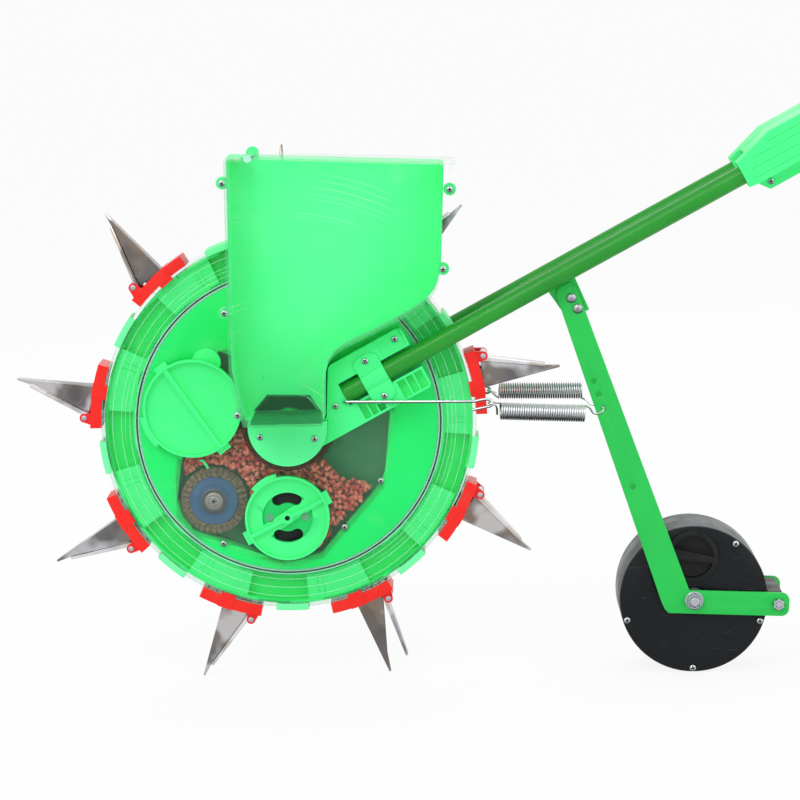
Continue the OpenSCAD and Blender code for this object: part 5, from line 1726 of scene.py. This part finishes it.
@dataclass
class SpringPair:
    """The two extension springs and the bent rods that hold them."""

    bench: Bench
    curls: int = 36
    ring_steps: int = 16
    coil_r: float = 8.0
    wire_r: float = 1.0
    start: float = 213.0
    length: float = 85.0
    rod_r: float = 1.5
    rod_y: float = 49.7
    rod_foot: Point = (61.5, -5.5)
    spring_y: float = 40.0
    eye: Point = (200.2, 29.3)
    eye_r: float = 4.0
    hook_y: float = 27.2
    strut_lean: float = math.radians(-66.2)
    hole_at: Point = (114.5, -11.8)

    def build(self) -> None:
        """Makes both rods and both springs."""
        hook = self.hook_hole()
        for side, first, last, turn in ((Side.NEAR, 19.9, 19.9, 0.0), (Side.FAR, 30.6, 33.0, math.pi)):
            self.make_spring(side, first, last, turn, hook)
            self.make_rod(side)
        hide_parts("spring_rods")

    def hook_hole(self) -> Point:
        """Finds the strut's spring hole from its pivot, in millimetres of the upright frame.

        Returns:
            X and Z of the hole.
        """
        pivot = self.bench.upright("strut_swing")
        c, s = math.cos(self.strut_lean), math.sin(self.strut_lean)
        down, across = self.hole_at
        return pivot.x + down * c - across * s, pivot.z + down * s + across * c

    def make_spring(self, side: Side, first: float, last: float, turn: float, hook: Point) -> None:
        """Winds one spring with both of its hooks, from the frame's eye to the strut's hole.

        Args:
            side: The side of the machine.
            first: Height of its axis above the hub at the eye's end, in millimetres.
            last: Height of its axis at the strut's end.
            turn: Where its first curl starts, in radians.
            hook: X and Z of the strut's hole.
        """
        bench, rod_y, spring_y, hook_y = self.bench, self.rod_y, self.spring_y, self.hook_y
        eye_x = self.eye[0] + self.eye_r - self.rod_r - self.wire_r - 0.1
        eye_z = self.eye[1]
        high = first + self.coil_r * math.cos(turn)
        lead = [(self.start - 3.0, spring_y + 2.4, first - 3.0), (eye_x + 7.0, rod_y + 3.6, eye_z - 2.6),
                (eye_x + 1.4, rod_y + 4.2, eye_z - 0.4), (eye_x - 0.5, rod_y + 1.6, eye_z),
                (eye_x - 0.2, rod_y - 2.6, eye_z), (eye_x + 2.2, rod_y - 4.4, eye_z + 0.2),
                (self.start - 5, spring_y + 2.6, (eye_z + high) / 2)]
        coil = []
        count = self.curls * self.ring_steps
        for step in range(count + 1):
            angle = turn + math.tau * step / self.ring_steps
            centre = first + (last - first) * step / count
            coil.append((self.start + self.length * step / count, spring_y - self.coil_r * math.sin(angle),
                         centre + self.coil_r * math.cos(angle)))
        high = last + self.coil_r * math.cos(turn)
        x, z = hook
        tail = [(self.start + self.length + 5, spring_y - 3.2, (2 * high + z - 5.5) / 3),
                (x - 9.5, hook_y + 7.0, z - 5.6), (x - 3.4, hook_y + 5.6, z - 5.0),
                (x + 0.2, hook_y + 4.4, z - 2.4), (x + 0.2, hook_y + 2.0, z - 0.4),
                (x - 0.2, hook_y - 3.5, z)]
        points = bench.flow([*lead, coil[0]])[:-1] + coil + bench.flow([coil[-1], *tail])[1:]
        path = [bench.on_frame(x, side.value * y, z) for x, y, z in points]
        name = "spring_" + side.name.lower()
        spring = bench.wire(name + "_coil", path, self.wire_r, 2)
        spring.data.materials.clear()
        spring.data.materials.append(bench.palette.of(SPRING_STEEL))
        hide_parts(name)
        begin = bench.on_frame(self.eye[0] + 8, 0.0, self.eye[1])
        end = bench.on_frame(hook[0] - 7, 0.0, hook[1])
        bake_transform(spring)
        LOG.info("%s stretches between frame and strut", spring.name)

    def make_rod(self, side: Side) -> None:
        """Bends one rod from its bracket to its eye.

        Args:
            side: The side of the machine.
        """
        bench, y, (ex, ez) = self.bench, self.rod_y, self.eye
        x0, z0 = bench.along(*self.rod_foot)
        points = [(x0, 29.5, z0), (x0, 40.0, z0), (x0, 46.5, z0), (x0 + 0.9, 48.8, z0), (x0 + 3.2, y, z0),
                  (ex - 14.0, y, ez + 1.0)]
        points += bench.flow([(ex - 6.0, y, ez + 2.9), (ex - 0.4, y + 0.2, ez + self.eye_r - 0.4),
                              (ex + 2.9, y + 0.8, ez + 2.4), (ex + self.eye_r, y + 1.5, ez - 0.2),
                              (ex + 2.8, y + 2.3, ez - 2.8), (ex - 0.6, y + 3.0, ez - 3.7),
                              (ex - 6.0, y + 3.1, ez - 5.0), (ex - 15.0, y + 3.1, ez - 7.2)], 5)
        path = [bench.on_frame(px, side.value * py, pz) for px, py, pz in points]
        bench.mount(bench.wire("spring_rod_" + side.name.lower(), path, self.rod_r), "frame", SPRING_STEEL)


def main() -> None:
    """Builds every sub-assembly in order and reports its pieces."""
    logging.basicConfig(level=logging.INFO, format="%(name)s: %(message)s")
    cad_box = [corner.copy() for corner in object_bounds()]
    bpy.context.scene.view_settings.view_transform = "Standard"
    Studio().build()
    bench = Bench(frame, Palette())
    for assembly in (Drum(bench), Chamber(bench), Hopper(bench), Handle(bench), PressWheel(bench),
                     SpringPair(bench)):
        LOG.info("building %s", type(assembly).__name__)
        assembly.build()
    bench.clear_selection()


if __name__ == "__main__":
    main()
